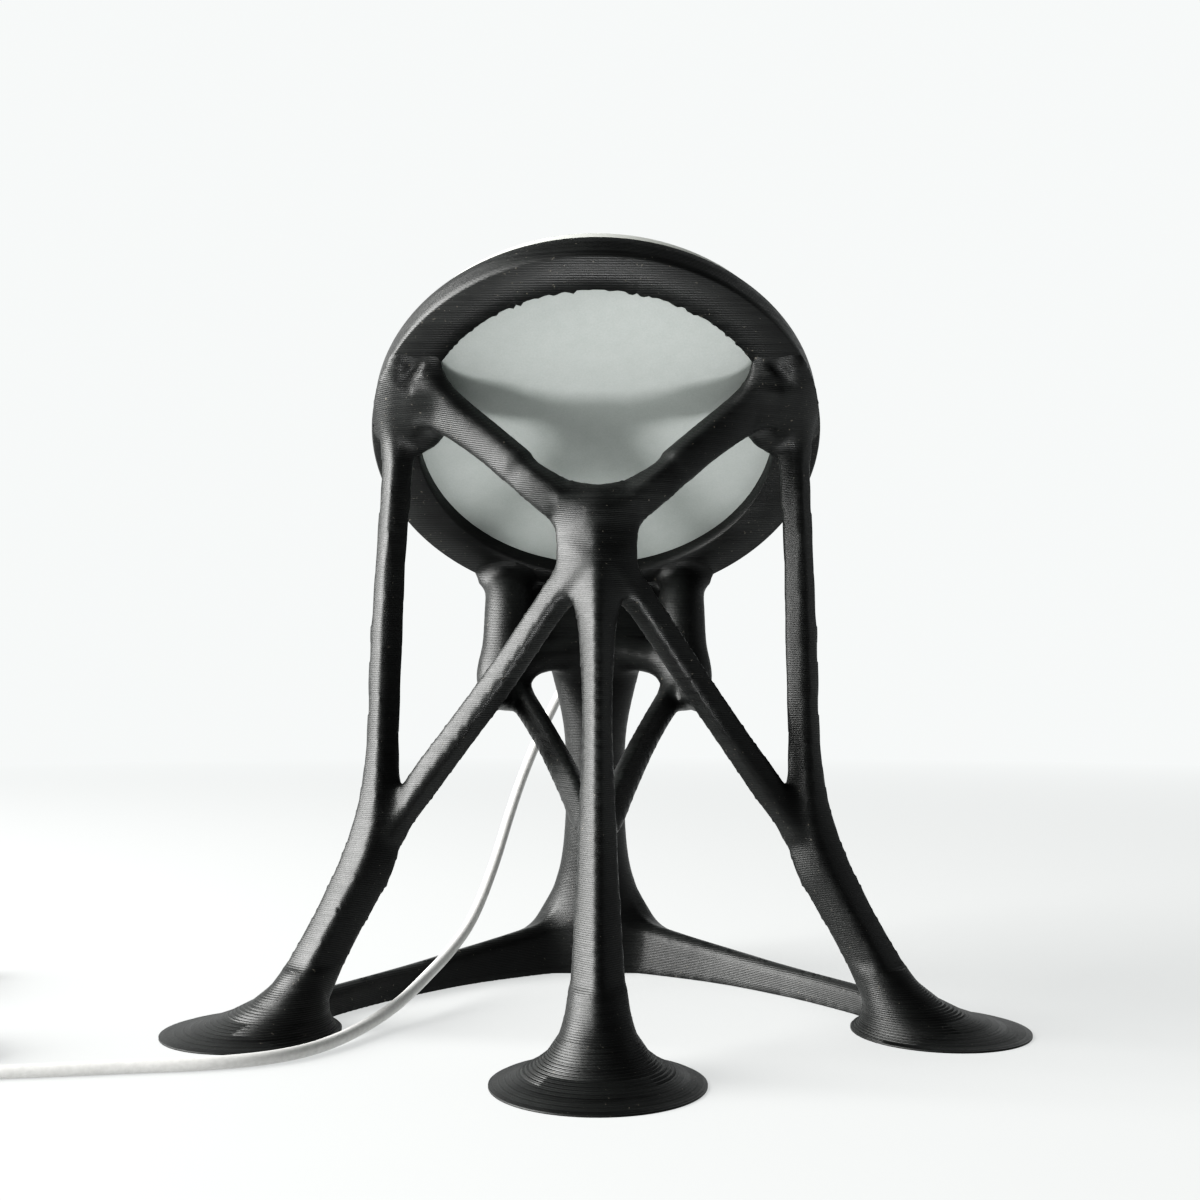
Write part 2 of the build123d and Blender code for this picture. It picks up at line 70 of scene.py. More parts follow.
LEAD_ROUTE = [
    tuple(BOOT_TIP), (-1.2, 58.6, 79.4), (-4.4, 61.6, 72.4), (-9.0, 60.8, 64.6), (-13.4, 58.6, 55.4),
    (-17.4, 54.4, 45.6), (-20.6, 49.0, 35.6), (-23.4, 42.0, 25.4), (-27.4, 32.0, 14.6),
    (-31.4, 21.0, 9.6), (-35.4, 9.2, 6.4), (-39.4, -3.0, 3.6), (-44.6, -14.8, 1.8), (-50.0, -26.0, 1.2),
    (-57.2, -33.8, 1.2), (-68.0, -37.8, 1.2), (-82.0, -39.6, 1.2), (-97.0, -42.0, 1.2),
    (-110.0, -43.6, 1.2), (-121.0, -44.9, 1.2),
]
COIL_MIDDLE = (-131.0, -29.8)
COIL_SLOTS = [  # radius and height of each turn, in the order in which it was wound
    (15.9, 1.2), (13.5, 1.2), (11.1, 1.2), (11.1, 3.6), (11.1, 6.0), (13.5, 6.0),
    (13.5, 3.6), (15.9, 3.6), (15.9, 6.0),
]
STEPS_PER_TURN = 16
WOUND_TURNS = 8.25
STEP_OVER = 0.25       # share of a turn in which the lead moves to its next slot
TAIL_ROUTE = [
    (-146.7, -25.8, 5.4), (-147.5, -19.6, 4.5), (-149.3, -11.4, 3.6), (-150.1, -6.8, 3.6),
    (-150.1, -2.8, 3.6),
]


def coil_points():
    """Turns wound clockwise, seen from above, that step to the next slot in a turn's last quarter."""
    reach = 1 / np.cos(np.pi / STEPS_PER_TURN)
    points = []
    for step in range(int(WOUND_TURNS * STEPS_PER_TURN) + 1):
        turn, part = divmod(step / STEPS_PER_TURN, 1.0)
        here = np.array(COIL_SLOTS[int(turn)])
        after = np.array(COIL_SLOTS[min(int(turn) + 1, len(COIL_SLOTS) - 1)])
        share = np.clip((part - 1 + STEP_OVER) / STEP_OVER, 0, 1)
        radius, height = here + (after - here) * share
        angle = np.radians(-90) - 2 * np.pi * step / STEPS_PER_TURN
        x = COIL_MIDDLE[0] + reach * radius * np.cos(angle)
        y = COIL_MIDDLE[1] + reach * radius * np.sin(angle)
        points.append((x, y, height))
    return points


def put(tree, kind, inputs=(), **settings):
    """Add a shader node; each input is a value, or the output that feeds it."""
    made = tree.nodes.new("ShaderNode" + kind)
    for key, value in settings.items():
        setattr(made, key, value)
    for key, value in dict(inputs).items():
        if isinstance(value, bpy.types.NodeSocket):
            tree.links.new(value, made.inputs[key])
        else:
            made.inputs[key].default_value = value
    return made


def new_material(name, **sockets):
    """Material with one Principled shader, whose plain values are set on its own sockets."""
    material = bpy.data.materials.new(name)
    material.use_nodes = True
    shader = material.node_tree.nodes["Principled BSDF"]
    for key, value in sockets.items():
        shader.inputs[key.replace("_", " ")].default_value = value
    return material, material.node_tree, shader


def new_group(name, inputs, outputs):
    """Empty shader node group with number inputs (name, default) and named outputs."""
    group = bpy.data.node_groups.new(name, "ShaderNodeTree")
    for label, default in inputs:
        socket = group.interface.new_socket(label, in_out="INPUT", socket_type="NodeSocketFloat")
        socket.default_value = default
    for label in outputs:
        group.interface.new_socket(label, in_out="OUTPUT", socket_type="NodeSocketFloat")
    start = group.nodes.new("NodeGroupInput")
    end = group.nodes.new("NodeGroupOutput")
    return group, start.outputs, end.inputs


def grain_group():
    """Fine moulded grain: two sizes of noise on the piece's own coordinates, from 0 to 1."""
    group, given, result = new_group("moulded_grain", [("Size mm", 0.3), ("Coarse share", 0.3)], ["Height"])
    place = put(group, "TexCoord").outputs["Object"]
    scale = put(group, "Math", {0: 1000.0, 1: given["Size mm"]}, operation="DIVIDE").outputs[0]
    fine = put(group, "TexNoise", {"Vector": place, "Scale": scale, "Detail": 3.0}).outputs[0]
    wide_scale = put(group, "Math", {0: scale, 1: 0.12}, operation="MULTIPLY").outputs[0]
    wide = put(group, "TexNoise", {"Vector": place, "Scale": wide_scale, "Detail": 2.0}).outputs[0]
    mixed = put(group, "Mix", {0: given["Coarse share"], 2: fine, 3: wide}).outputs[0]
    group.links.new(mixed, result["Height"])
    return group


GRAIN = grain_group()


def add_grain(tree, size, coarse):
    """Place the moulded grain in a material and give its height."""
    made = put(tree, "Group", node_tree=GRAIN)
    made.inputs["Size mm"].default_value = size
    made.inputs["Coarse share"].default_value = coarse
    return made.outputs["Height"]


def blend(tree, share, low, high):
    """Colour between two, by a share from 0 to 1."""
    made = put(tree, "Mix", {0: share, 6: (*low, 1), 7: (*high, 1)}, data_type="RGBA")
    return made.outputs[2]


def spread(tree, value, low, high, to_low=0.0, to_high=1.0):
    """Carry a value's range low to high over to another range, and stop at its ends."""
    return put(tree, "MapRange", {0: value, 1: low, 2: high, 3: to_low, 4: to_high}).outputs[0]


def moulded(name, low, high, rough, grain_mm=0.3, depth_mm=0.02, **sockets):
    """Moulded or cast finish: colour drifts between two tones and the surface has a fine grain."""
    material, tree, shader = new_material(name, **sockets)
    height = add_grain(tree, grain_mm, 0.35)
    tree.links.new(blend(tree, spread(tree, height, 0.35, 0.65), low, high), shader.inputs["Base Color"])
    tree.links.new(spread(tree, height, 0.3, 0.7, rough - 0.06, rough + 0.06), shader.inputs["Roughness"])
    bump = put(tree, "Bump", {"Strength": 0.5, "Distance": depth_mm * MM, "Height": height})
    tree.links.new(bump.outputs[0], shader.inputs["Normal"])
    return material


white_pvc = moulded("white_pvc", (0.56, 0.555, 0.54), (0.65, 0.645, 0.63), 0.42, grain_mm=0.8, depth_mm=0.01)

line = bpy.data.curves.new("white_lead", "CURVE")
line.dimensions = "3D"
line.bevel_depth = 0.5 * LEAD_THICK * MM
line.bevel_resolution = 5
line.resolution_u = 6
line.use_fill_caps = True
places = np.array(LEAD_ROUTE + coil_points() + TAIL_ROUTE) * MM
spline = line.splines.new("NURBS")
spline.points.add(len(places) - 1)
spline.points.foreach_set("co", np.column_stack([places, np.ones(len(places))]).ravel())
spline.order_u = 3
spline.use_endpoint_u = True
lead = bpy.data.objects.new("white_lead", line)
bpy.context.scene.collection.objects.link(lead)
line.materials.append(white_pvc)
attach(lead, "root")
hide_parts("charging_lead", "lead_coil", "lead_tail")

# ---- Printed stand: shape of the branching frame --------------------------------------
# One black print. Legs, arms and braces are rounded-diamond bars whose thickness changes
# along their length, and they flow into each other with soft webs where they meet.
CELL = 0.9      # the surface is found on a grid of this pitch
HALF_WIDE, HALF_DEEP, TALL = 88, 69, 157
PAD_R, RING_R, BORE_R, RING_THICK, LEDGE = 45.0, 47.0, 39.2, 6.5, 3.6
BORE_NARROWS = 1.6     # the bore is an oval, this much less across than uphill
BORE_LOW = 1.2         # and this much less downhill
NOTCH_HALF, NOTCH_FLOOR = 2.7, 4.2

half_x = np.arange(0.5 * CELL, HALF_WIDE, CELL)
grid_x = np.concatenate([-half_x[::-1], half_x])
grid_y = np.arange(-HALF_DEEP, HALF_DEEP, CELL)
grid_z = np.arange(-2.5 * CELL, TALL, CELL)
FAR = 30.0             # distance given to places that no piece has reached yet
half_field = np.full((len(half_x), len(grid_y), len(grid_z)), FAR, np.float32)


def soft_min(a, b, k):
    """The lower of two distances, rounded off over a width k so that two bars flow together."""
    h = np.clip(0.5 + 0.5 * (b - a) / k, 0, 1)
    return b + (a - b) * h - k * h * (1 - h)


def smooth_stations(stations, steps=6):
    """Catmull-Rom curve through the rows of a table, with some rows added in between."""
    rows = np.array([list(s) + [0.0] * (6 - len(s)) for s in stations], float)
    ends = np.vstack([2 * rows[0] - rows[1], rows, 2 * rows[-1] - rows[-2]])
    t = np.linspace(0, 1, steps, endpoint=False)[:, None, None]
    a, b, c, d = ends[:-3], ends[1:-2], ends[2:-1], ends[3:]
    square, cube = 2 * a - 5 * b + 4 * c - d, 3 * b - a - 3 * c + d
    curve = 0.5 * (2 * b + (c - a) * t + square * t**2 + cube * t**3)
    return np.vstack([curve.transpose(1, 0, 2).reshape(-1, rows.shape[1]), rows[-1:]])


def bar_distance(points, stations, sharp):
    """Distance to a bar; the nearest place on its line gives its half width, half depth and roll.

    The section is |u/width|^sharp + |v/depth|^sharp = 1, where 1 is a diamond and 2 an ellipse.
    """
    rows = smooth_stations(stations)
    best = np.full(len(points), np.inf)
    place = np.zeros(len(points))
    for i in range(len(rows) - 1):
        run = rows[i + 1, :3] - rows[i, :3]
        t = np.clip((points - rows[i, :3]) @ run / (run @ run), 0, 1)
        gap = points - rows[i, :3] - t[:, None] * run
        far = np.einsum("ij,ij->i", gap, gap)
        nearer = far < best
        best[nearer] = far[nearer]
        place[nearer] = i + t[nearer]
    low = np.minimum(place.astype(int), len(rows) - 2)
    share = (place - low)[:, None]
    here = rows[low] * (1 - share) + rows[low + 1] * share
    along = np.gradient(rows[:, :3], axis=0)
    along = along[low] * (1 - share) + along[low + 1] * share
    along /= np.linalg.norm(along, axis=1)[:, None]
    lead = np.where(np.abs(along[:, :1]) < 0.85, [[1.0, 0, 0]], [[0, 0, 1.0]])
    across = lead - along * np.sum(lead * along, axis=1)[:, None]
    across /= np.linalg.norm(across, axis=1)[:, None]
    depth = np.cross(along, across)
    roll = np.radians(here[:, 5])[:, None]
    turned = np.cos(roll) * across + np.sin(roll) * depth
    across, depth = turned, np.cos(roll) * depth - np.sin(roll) * across
    offset = points - here[:, :3]
    u = np.sum(offset * across, axis=1)
    v = np.sum(offset * depth, axis=1)
    past = np.sum(offset * along, axis=1)
    out = np.hypot(u, v) + 1e-6
    size = (np.abs(u / here[:, 3]) ** sharp + np.abs(v / here[:, 4]) ** sharp) ** (1 / sharp)
    side = out - out / np.maximum(size, 1e-6)
    return np.where(np.abs(past) > 0.3, np.hypot(np.maximum(side, 0), past), side)


def add_to_field(distance, low, high, web):
    """Blend a shape into the half field, inside its own box only; web is the width of the fillets."""
    reach = web + 3.0
    spans = []
    for axis, (lo, hi) in zip((half_x, grid_y, grid_z), zip(low, high)):
        spans.append(slice(*np.searchsorted(axis, (lo - reach, hi + reach))))
    block = half_field[tuple(spans)]
    where = np.meshgrid(half_x[spans[0]], grid_y[spans[1]], grid_z[spans[2]], indexing="ij")
    points = np.stack([w.ravel() for w in where], axis=1)
    new = distance(points).reshape(block.shape)
    half_field[tuple(spans)] = soft_min(new, block, web)


def add_bar(stations, sharp=1.5, web=4.0):
    """Blend a bar through its stations into the half field."""
    rows = np.array([s[:5] for s in stations])
    thick = rows[:, 3:5].max(axis=1)[:, None]
    low, high = (rows[:, :3] - thick).min(axis=0), (rows[:, :3] + thick).max(axis=0)
    add_to_field(lambda p: bar_distance(p, stations, sharp), low, high, web)


# stations: x, y, z, half width (seen from the front), half depth, roll in degrees
FRONT_LEG = [
    (0, -44.6, 8, 5.8, 5.8), (0, -43.4, 12.5, 5.2, 5.4), (0, -41.5, 18, 4.8, 5.0),
    (0, -36.8, 34, 3.9, 4.3), (0, -32.0, 50.5, 3.2, 3.8), (0, -28.0, 63, 3.0, 3.6),
    (0, -23.4, 78.5, 3.9, 4.4), (0, -19.2, 88, 6.6, 5.0), (0, -16.8, 95.5, 8.2, 4.8),
    (0, -15.4, 101.5, 6.8, 3.6), (0, -14.8, 104.0, 4.4, 2.4),
]
ARM = [
    (0.5, -16.0, 100.2, 5.2, 4.2), (6.4, -15.2, 102.6, 4.7, 3.8), (12.8, -13.6, 107.1, 4.1, 3.6),
    (19.4, -9.8, 113.3, 3.9, 3.6), (25.6, -6.6, 118.4, 4.4, 3.8), (29.6, -4.6, 121.2, 4.8, 4.2),
    (33.0, -3.0, 123.0, 4.8, 4.2), (35.6, -2.2, 124.4, 3.8, 3.4),
]
ARM_END = [
    (37.6, 3.4, 116.8, 2.6, 2.4), (36.6, 1.2, 119.2, 5.0, 3.2), (35.8, -3.2, 122.8, 5.8, 3.4),
    (36.0, -8.0, 127.0, 4.4, 2.8),
]
ARM_WEB = [
    (16.0, -11.8, 110.6, 3.0, 3.0), (25.0, -8.6, 118.8, 3.0, 3.0), (31.0, -8.4, 125.2, 2.8, 2.8),
    (34.6, -9.0, 129.4, 3.2, 2.4),
]
SIDE_LEG = [
    (40.6, 3.6, 125.5, 3.0, 3.0), (41.0, 2.6, 118.6, 3.5, 3.4, -4), (41.3, 0.6, 105.3, 3.3, 3.3, -6),
    (41.8, -0.6, 91.5, 3.3, 3.2, -6), (42.1, -2.1, 74.9, 3.5, 3.2, -6), (42.3, -3.6, 56.9, 3.4, 3.3, -4),
    (42.6, -5.0, 44.5, 4.3, 4.0), (43.4, -5.6, 37.2, 5.3, 4.6), (45.0, -6.4, 31.6, 5.5, 4.8),
    (47.7, -7.1, 26.0, 5.2, 4.9), (51.5, -8.1, 18.6, 5.0, 5.0), (55.2, -9.1, 11.4, 5.2, 5.2),
    (57.4, -9.7, 7.4, 5.0, 5.2),
]
SHOULDER = [
    (41.2, 2.4, 115.5, 3.2, 3.2), (41.6, -0.6, 121.0, 3.0, 2.6), (40.9, -5.6, 126.2, 2.4, 2.0),
    (39.4, -10.8, 130.8, 1.0, 1.0),
]
DIAGONAL = [
    (2.0, -17.4, 90.5, 4.6, 4.2), (8.4, -17.2, 83.0, 3.4, 3.5), (18.4, -13.6, 68.6, 3.3, 3.4),
    (27.3, -9.8, 56.4, 3.3, 3.4), (33.8, -7.3, 47.6, 3.4, 3.5), (40.2, -5.8, 38.2, 2.8, 3.0),
]
BRACE = [
    (18.6, 22.4, 66.0, 4.2, 4.2), (15.3, 18.0, 63.0, 3.2, 3.2), (9.9, 1.4, 55.7, 2.9, 3.0),
    (4.8, -16.6, 47.5, 3.0, 3.2), (2.2, -28.0, 42.2, 2.7, 3.0), (0.9, -34.0, 39.2, 1.4, 1.8),
]
TIE_BAR = [
    (19.4, 22.6, 66.0, 4.2, 4.0), (21.8, 12.0, 64.2, 2.8, 2.9), (23.8, 0.0, 62.8, 2.6, 2.8),
    (24.2, -8.6, 61.4, 2.2, 2.4),
]
POST = [
    (19.0, 22.8, 63.0, 3.4, 3.6), (20.2, 23.8, 68.0, 5.8, 5.4), (19.6, 27.0, 76.0, 5.5, 5.2),
    (19.6, 31.0, 83.6, 5.4, 5.2), (20.0, 34.6, 88.6, 5.2, 4.8), (21.6, 37.4, 92.6, 5.0, 3.2),
]
BRIDGE = [(-19.0, 25.4, 72.0, 3.6, 4.0), (0, 30.6, 75.2, 3.6, 5.2), (19.0, 25.4, 72.0, 3.6, 4.0)]
NECK_WEB = [(0, 31.4, 75.0, 19.0, 3.2), (0, 35.6, 82.5, 18.0, 3.4), (0, 40.6, 88.4, 19.0, 3.2)]
COLUMN = [
    (0, 33.6, 76.0, 12.0, 5.6), (0, 35.8, 70.0, 10.0, 6.4), (0, 39.2, 58.0, 7.4, 6.8),
    (0, 42.8, 46.5, 6.8, 6.6), (0, 46.0, 37.0, 7.0, 6.8), (0, 49.4, 27.0, 7.9, 7.2),
    (0, 51.8, 19.5, 9.8, 8.0), (0, 53.4, 13.0, 13.0, 8.8), (0, 54.4, 6.0, 14.0, 9.2),
]


def seat_coordinates(points):
    """Radius from the seat's axis, distance downhill, and height above the ring's underside."""
    off = points - SEAT_AT
    downhill, height = off @ SEAT_DOWNHILL, off @ SEAT_UP
    return np.hypot(points[:, 0], downhill), downhill, height


def bore_radius(x, downhill):
    """Radius of the oval bore in the direction of a point."""
    around = np.maximum(x**2 + downhill**2, 1e-6)
    return BORE_R - (BORE_NARROWS * x**2 + BORE_LOW * np.maximum(downhill, 0) ** 2) / around


RING_INSET = 0.3       # the blended body stays this far inside the turned ring that covers it
FLANGE_INSET = 0.35    # and this far inside the layered flanges of the feet


def ring_core(points):
    """Square-sectioned ring, a little inside the turned ring that covers it."""
    radius, downhill, height = seat_coordinates(points)
    inner = bore_radius(points[:, 0], downhill)
    middle, half = 0.5 * (RING_R + inner), 0.5 * (RING_R - inner) - RING_INSET
    tall = 0.5 * LEDGE - RING_INSET
    return np.maximum(np.abs(radius - middle) - half, np.abs(height - 0.5 * LEDGE) - tall)


# middle of each foot on the floor, and the way in which its flare moves in to the leg
SIDE_MIDDLE, SIDE_LEAN = (66.7, -10.1), (-1, 0)
FRONT_MIDDLE, FRONT_LEAN = (0.0, -46.6), (0, 1)
SIDE_FLARE = [  # height, radius, how far the middle has moved in towards the leg
    (0, 17.2, 0), (0.4, 17.2, 0), (0.8, 15.7, 0.9), (1.3, 14.3, 1.8), (2.0, 12.7, 2.9),
    (3.6, 10.1, 5.0), (6.0, 7.7, 7.4), (9.0, 6.0, 9.4), (12.0, 4.8, 11.0),
]
FRONT_FLARE = [
    (0, 18.4, 0), (0.4, 18.4, 0), (0.8, 17.0, 0.1), (1.3, 15.6, 0.2), (2.2, 13.3, 0.3),
    (3.4, 11.0, 0.6), (4.9, 9.0, 0.9), (8.0, 6.9, 1.7), (11.5, 5.6, 2.7), (15.0, 4.9, 3.8),
]


def flare_at(levels, z):
    """Radius of a foot at a height, and how far its middle has moved in there."""
    table = np.array(levels, float)
    return np.interp(z, table[:, 0], table[:, 1]), np.interp(z, table[:, 0], table[:, 2])


def flare_core(levels, middle, lean):
    """Distance to a flared foot, a little inside the layered flange that covers it."""
    def distance(points):
        radius, moved = flare_at(levels, points[:, 2])
        x = points[:, 0] - middle[0] - lean[0] * moved
        y = points[:, 1] - middle[1] - lean[1] * moved
        slope_share = 0.6      # the flare is shallow, so its true distance is less than the flat one
        side = slope_share * (np.hypot(x, y) - radius + FLANGE_INSET)
        return np.maximum(side, points[:, 2] - levels[-1][0])

    return distance


REAR_Y, REAR_R = 54.5, 10.4
BEAM_LINE = [  # x, y of the middle, half width, height
    (0.0, 55.6, 8.2, 15.0), (9.1, 52.4, 6.8, 12.6), (19.9, 45.2, 5.7, 10.0), (30.2, 37.1, 5.0, 8.0),
    (38.7, 28.3, 4.6, 6.7), (46.0, 19.7, 4.4, 6.0), (52.4, 10.9, 4.5, 5.7), (57.4, 3.4, 4.8, 5.4),
    (61.5, -3.6, 5.2, 3.8),
]


def beam_distance(points):
    """Low curved wall: nearly upright towards the front, with a top that slopes to the rear."""
    line = smooth_stations([row + (0.0, 0.0) for row in BEAM_LINE], steps=4)[:, :4]
    best = np.full(len(points), np.inf)
    at = np.zeros(len(points))
    side = np.zeros(len(points))
    for i in range(len(line) - 1):
        step = line[i + 1, :2] - line[i, :2]
        t = np.clip((points[:, :2] - line[i, :2]) @ step / (step @ step), 0, 1)
        gap = points[:, :2] - line[i, :2] - t[:, None] * step
        far = np.einsum("ij,ij->i", gap, gap)
        nearer = far < best
        best[nearer] = far[nearer]
        at[nearer] = i + t[nearer]
        side[nearer] = np.sign(gap[nearer] @ np.array([-step[1], step[0]]))
    half = np.interp(at, np.arange(len(line)), line[:, 2])
    tall = np.interp(at, np.arange(len(line)), line[:, 3])
    off, z = side * np.sqrt(best), points[:, 2]
    # the four faces with their slopes; the factors in front bring each nearer to a true distance
    near_face = -off - half * (1 - 0.18 * z / tall)
    far_face = 0.9 * (off - half * (1 - 0.3 * z / tall))
    top = 0.95 * (z - tall + 0.3 * np.maximum(off + 0.4 * half, -0.3 * half))
    lip = 0.8 * (z - tall + 0.9 * (-off - 0.55 * half))
    return np.maximum.reduce([near_face, far_face, top, lip])


def rear_foot_core(points):
    """Round end where the two beams meet under the column."""
    z = points[:, 2]
    radius = np.interp(z, [0, 5, 12, 20], [REAR_R, REAR_R - 0.3, 9.4, 7.4])
    flat = np.hypot(points[:, 0], points[:, 1] - REAR_Y + 0.08 * z)
    return np.maximum(flat - radius, z - 20)


add_bar(COLUMN, sharp=1.8, web=3.0)
add_to_field(rear_foot_core, (-14, 43, 0), (14, 66, 20), 2.5)
add_to_field(beam_distance, (-1, -14, 0), (72, 65, 16), 5.0)
add_bar(SIDE_LEG, sharp=1.22, web=2.5)
add_to_field(flare_core(SIDE_FLARE, SIDE_MIDDLE, SIDE_LEAN), (48, -28, 0), (85, 8, 12), 1.4)
add_bar(SHOULDER, sharp=1.5, web=1.5)
add_bar(FRONT_LEG, sharp=1.22)
add_to_field(flare_core(FRONT_FLARE, FRONT_MIDDLE, FRONT_LEAN), (-19, -66, 0), (19, -27, 15), 1.2)
add_bar(DIAGONAL, sharp=1.22, web=3.0)
add_bar(ARM, sharp=1.3, web=3.5)
add_bar(ARM_WEB, sharp=1.4, web=3.0)
add_bar(ARM_END, sharp=1.7, web=3.0)
add_bar(POST, sharp=1.8, web=4.0)
add_bar(BRIDGE, sharp=1.6)
add_bar(NECK_WEB, sharp=2.4, web=3.0)
add_bar(TIE_BAR, sharp=1.6, web=2.6)
add_bar(BRACE, sharp=1.35, web=2.4)
add_to_field(ring_core, (-47, -36, 80), (47, 50, 156), 4.0)

# cut the bore, the pad's room, all that is above the ring, and the lead's notch; the turned ring
# covers each cut by a hair
every = np.stack(np.meshgrid(half_x, grid_y, grid_z, indexing="ij"), axis=-1).reshape(-1, 3)
radius, downhill, height = seat_coordinates(every)
HAIR, PAD_GAP, NEAR_RING = 0.35, 0.2, RING_R + 6
NOTCH_FROM, NOTCH_TOP, NOTCH_SIDE, NOTCH_UNDER = 40, 12, 0.3, 0.4
bore_room = np.maximum(radius - bore_radius(every[:, 0], downhill) - HAIR, 2 * HAIR - height)
pad_room = np.maximum(radius - PAD_R - PAD_GAP - HAIR, LEDGE - HAIR - height)
over_ring = np.where(radius < NEAR_RING, RING_THICK - HAIR - height, FAR)
at_notch = (every[:, 0] < NOTCH_HALF + NOTCH_SIDE) & (downhill > NOTCH_FROM) & (radius < NEAR_RING)
at_notch &= (height > NOTCH_FLOOR - NOTCH_UNDER) & (height < NOTCH_TOP)
over_ring = np.where(at_notch, -1.0, over_ring)
kept = np.maximum.reduce([half_field.ravel(), -bore_room, -pad_room, -over_ring, -every[:, 2]])
half_field = kept.reshape(half_field.shape)
field = np.concatenate([half_field[::-1], half_field])


def net_surface(values, axes):
    """Closed quad mesh where the values cross zero.

    Each crossed cell gets a point, and each crossed edge a quad between the four cells round it.
    """
    inside = values < 0
    shape = np.array(values.shape) - 1
    total = np.zeros(tuple(shape) + (3,), np.float32)
    count = np.zeros(tuple(shape), np.float32)
    corners = [(i, j, k) for i in (0, 1) for j in (0, 1) for k in (0, 1)]

    def at(array, c):
        return array[c[0]:c[0] + shape[0], c[1]:c[1] + shape[1], c[2]:c[2] + shape[2]]

    for axis in range(3):
        for a in corners:
            if a[axis]:
                continue
            b = tuple(c + (i == axis) for i, c in enumerate(a))
            va, vb = at(values, a), at(values, b)
            crossed = at(inside, a) != at(inside, b)
            t = np.where(crossed, va / np.where(crossed, va - vb, 1), 0)
            for i in range(3):
                total[..., i] += crossed * (a[i] + (t if i == axis else 0))
            count += crossed
    used = count > 0
    number = np.full(tuple(shape), -1, np.int64)
    number[used] = np.arange(used.sum())
    index = np.argwhere(used)
    steps = np.array([a[1] - a[0] for a in axes])
    start = np.array([a[0] for a in axes])
    points = start + (index + total[used] / count[used][:, None]) * steps
    quads = []
    for axis in range(3):
        u, v = (axis + 1) % 3, (axis + 2) % 3
        low = [slice(1, -1)] * 3
        low[axis] = slice(0, -1)
        high = list(low)
        high[axis] = slice(1, None)
        a, b = inside[tuple(low)], inside[tuple(high)]
        at_edge = np.argwhere(a != b)
        outward = a[a != b]
        offset = np.ones(3, int)
        offset[axis] = 0
        cell = at_edge + offset
        du, dv = np.zeros(3, int), np.zeros(3, int)
        du[u], dv[v] = 1, 1
        ring = [cell - du - dv, cell - dv, cell, cell - du]
        ids = np.stack([number[tuple(r.T)] for r in ring], axis=1)
        ids[~outward] = ids[~outward][:, ::-1]
        quads.append(ids)
    return points, np.vstack(quads)


def sample(values, axes, points):
    """Value at points between the grid's samples, from the eight around each."""
    at = [(points[:, i] - axes[i][0]) / (axes[i][1] - axes[i][0]) for i in range(3)]
    low = [np.clip(a.astype(int), 0, values.shape[i] - 2) for i, a in enumerate(at)]
    part = [a - l for a, l in zip(at, low)]
    total = 0
    for i in (0, 1):
        for j in (0, 1):
            for k in (0, 1):
                weight = 1
                for p, c in zip(part, (i, j, k)):
                    weight = weight * (p if c else 1 - p)
                total = total + weight * values[low[0] + i, low[1] + j, low[2] + k]
    return total


body_points, body_quads = net_surface(field, (grid_x, grid_y, grid_z))

# pull the points on to the surface, in a few short steps along its slope
NUDGES, STEP_SHARE, LONGEST_STEP, FLATTEST = 3, 0.8, 0.4 * CELL, 0.25
slopes = np.gradient(field, CELL)
for _ in range(NUDGES):
    level = sample(field, (grid_x, grid_y, grid_z), body_points)
    slope = np.stack([sample(s, (grid_x, grid_y, grid_z), body_points) for s in slopes], axis=1)
    size = np.maximum(np.sum(slope * slope, axis=1), FLATTEST)
    move = np.clip(level / size, -LONGEST_STEP, LONGEST_STEP)[:, None] * slope
    body_points = body_points - STEP_SHARE * move
body_points[:, 2] = np.maximum(body_points[:, 2], 0)

LEAN, LEG_TALL = 0.55, 112     # both side legs bow this much to the left, half-way up
BOW_FROM, BOW_FULL = 18, 32    # the bow fades in between these distances from the middle


def bowed(points):
    """The side legs bow a little to the left between their feet and the ring."""
    share = np.clip(points[:, 2] / LEG_TALL, 0, 1)
    outer = np.clip((np.abs(points[:, 0]) - BOW_FROM) / (BOW_FULL - BOW_FROM), 0, 1)
    return points - np.outer(LEAN * np.sin(np.pi * share) * outer, (1, 0, 0))


body_points = bowed(body_points)


def turned_rows(profile, turns):
    """Carry a profile of (radius, height) round the Z axis: rows go round, columns along the profile."""
    angle = np.linspace(0, 2 * np.pi, turns, endpoint=False)
    outline = np.array(profile, float)
    x, y = np.outer(np.cos(angle), outline[:, 0]), np.outer(np.sin(angle), outline[:, 0])
    return np.stack([x, y, np.broadcast_to(outline[:, 1], x.shape)], axis=-1)


def grid_quads(rows, columns, round_rows=True, round_columns=True):
    """Quads between neighbouring points of a grid, joined end to end where it goes round."""
    r = np.arange(rows if round_rows else rows - 1)
    c = np.arange(columns if round_columns else columns - 1)
    r, c = [a.ravel() for a in np.meshgrid(r, c, indexing="ij")]
    r2, c2 = (r + 1) % rows, (c + 1) % columns
    corners = [r * columns + c, r2 * columns + c, r2 * columns + c2, r * columns + c2]
    return np.stack(corners, axis=1).tolist()


def to_seat(points):
    """Carry points drawn with the ring's underside at Z = 0 to the tilted seat."""
    x, y, z = np.asarray(points).reshape(-1, 3).T
    return np.outer(x, (1, 0, 0)) + np.outer(y, SEAT_DOWNHILL) + np.outer(z, SEAT_UP) + SEAT_AT


def joined(*shells):
    """Several (points, faces) shells as one."""
    points, faces, start = [], [], 0
    for some_points, some_faces in shells:
        some_points = np.asarray(some_points).reshape(-1, 3)
        points.append(some_points)
        faces += [[i + start for i in face] for face in some_faces]
        start += len(some_points)
    return np.vstack(points), faces


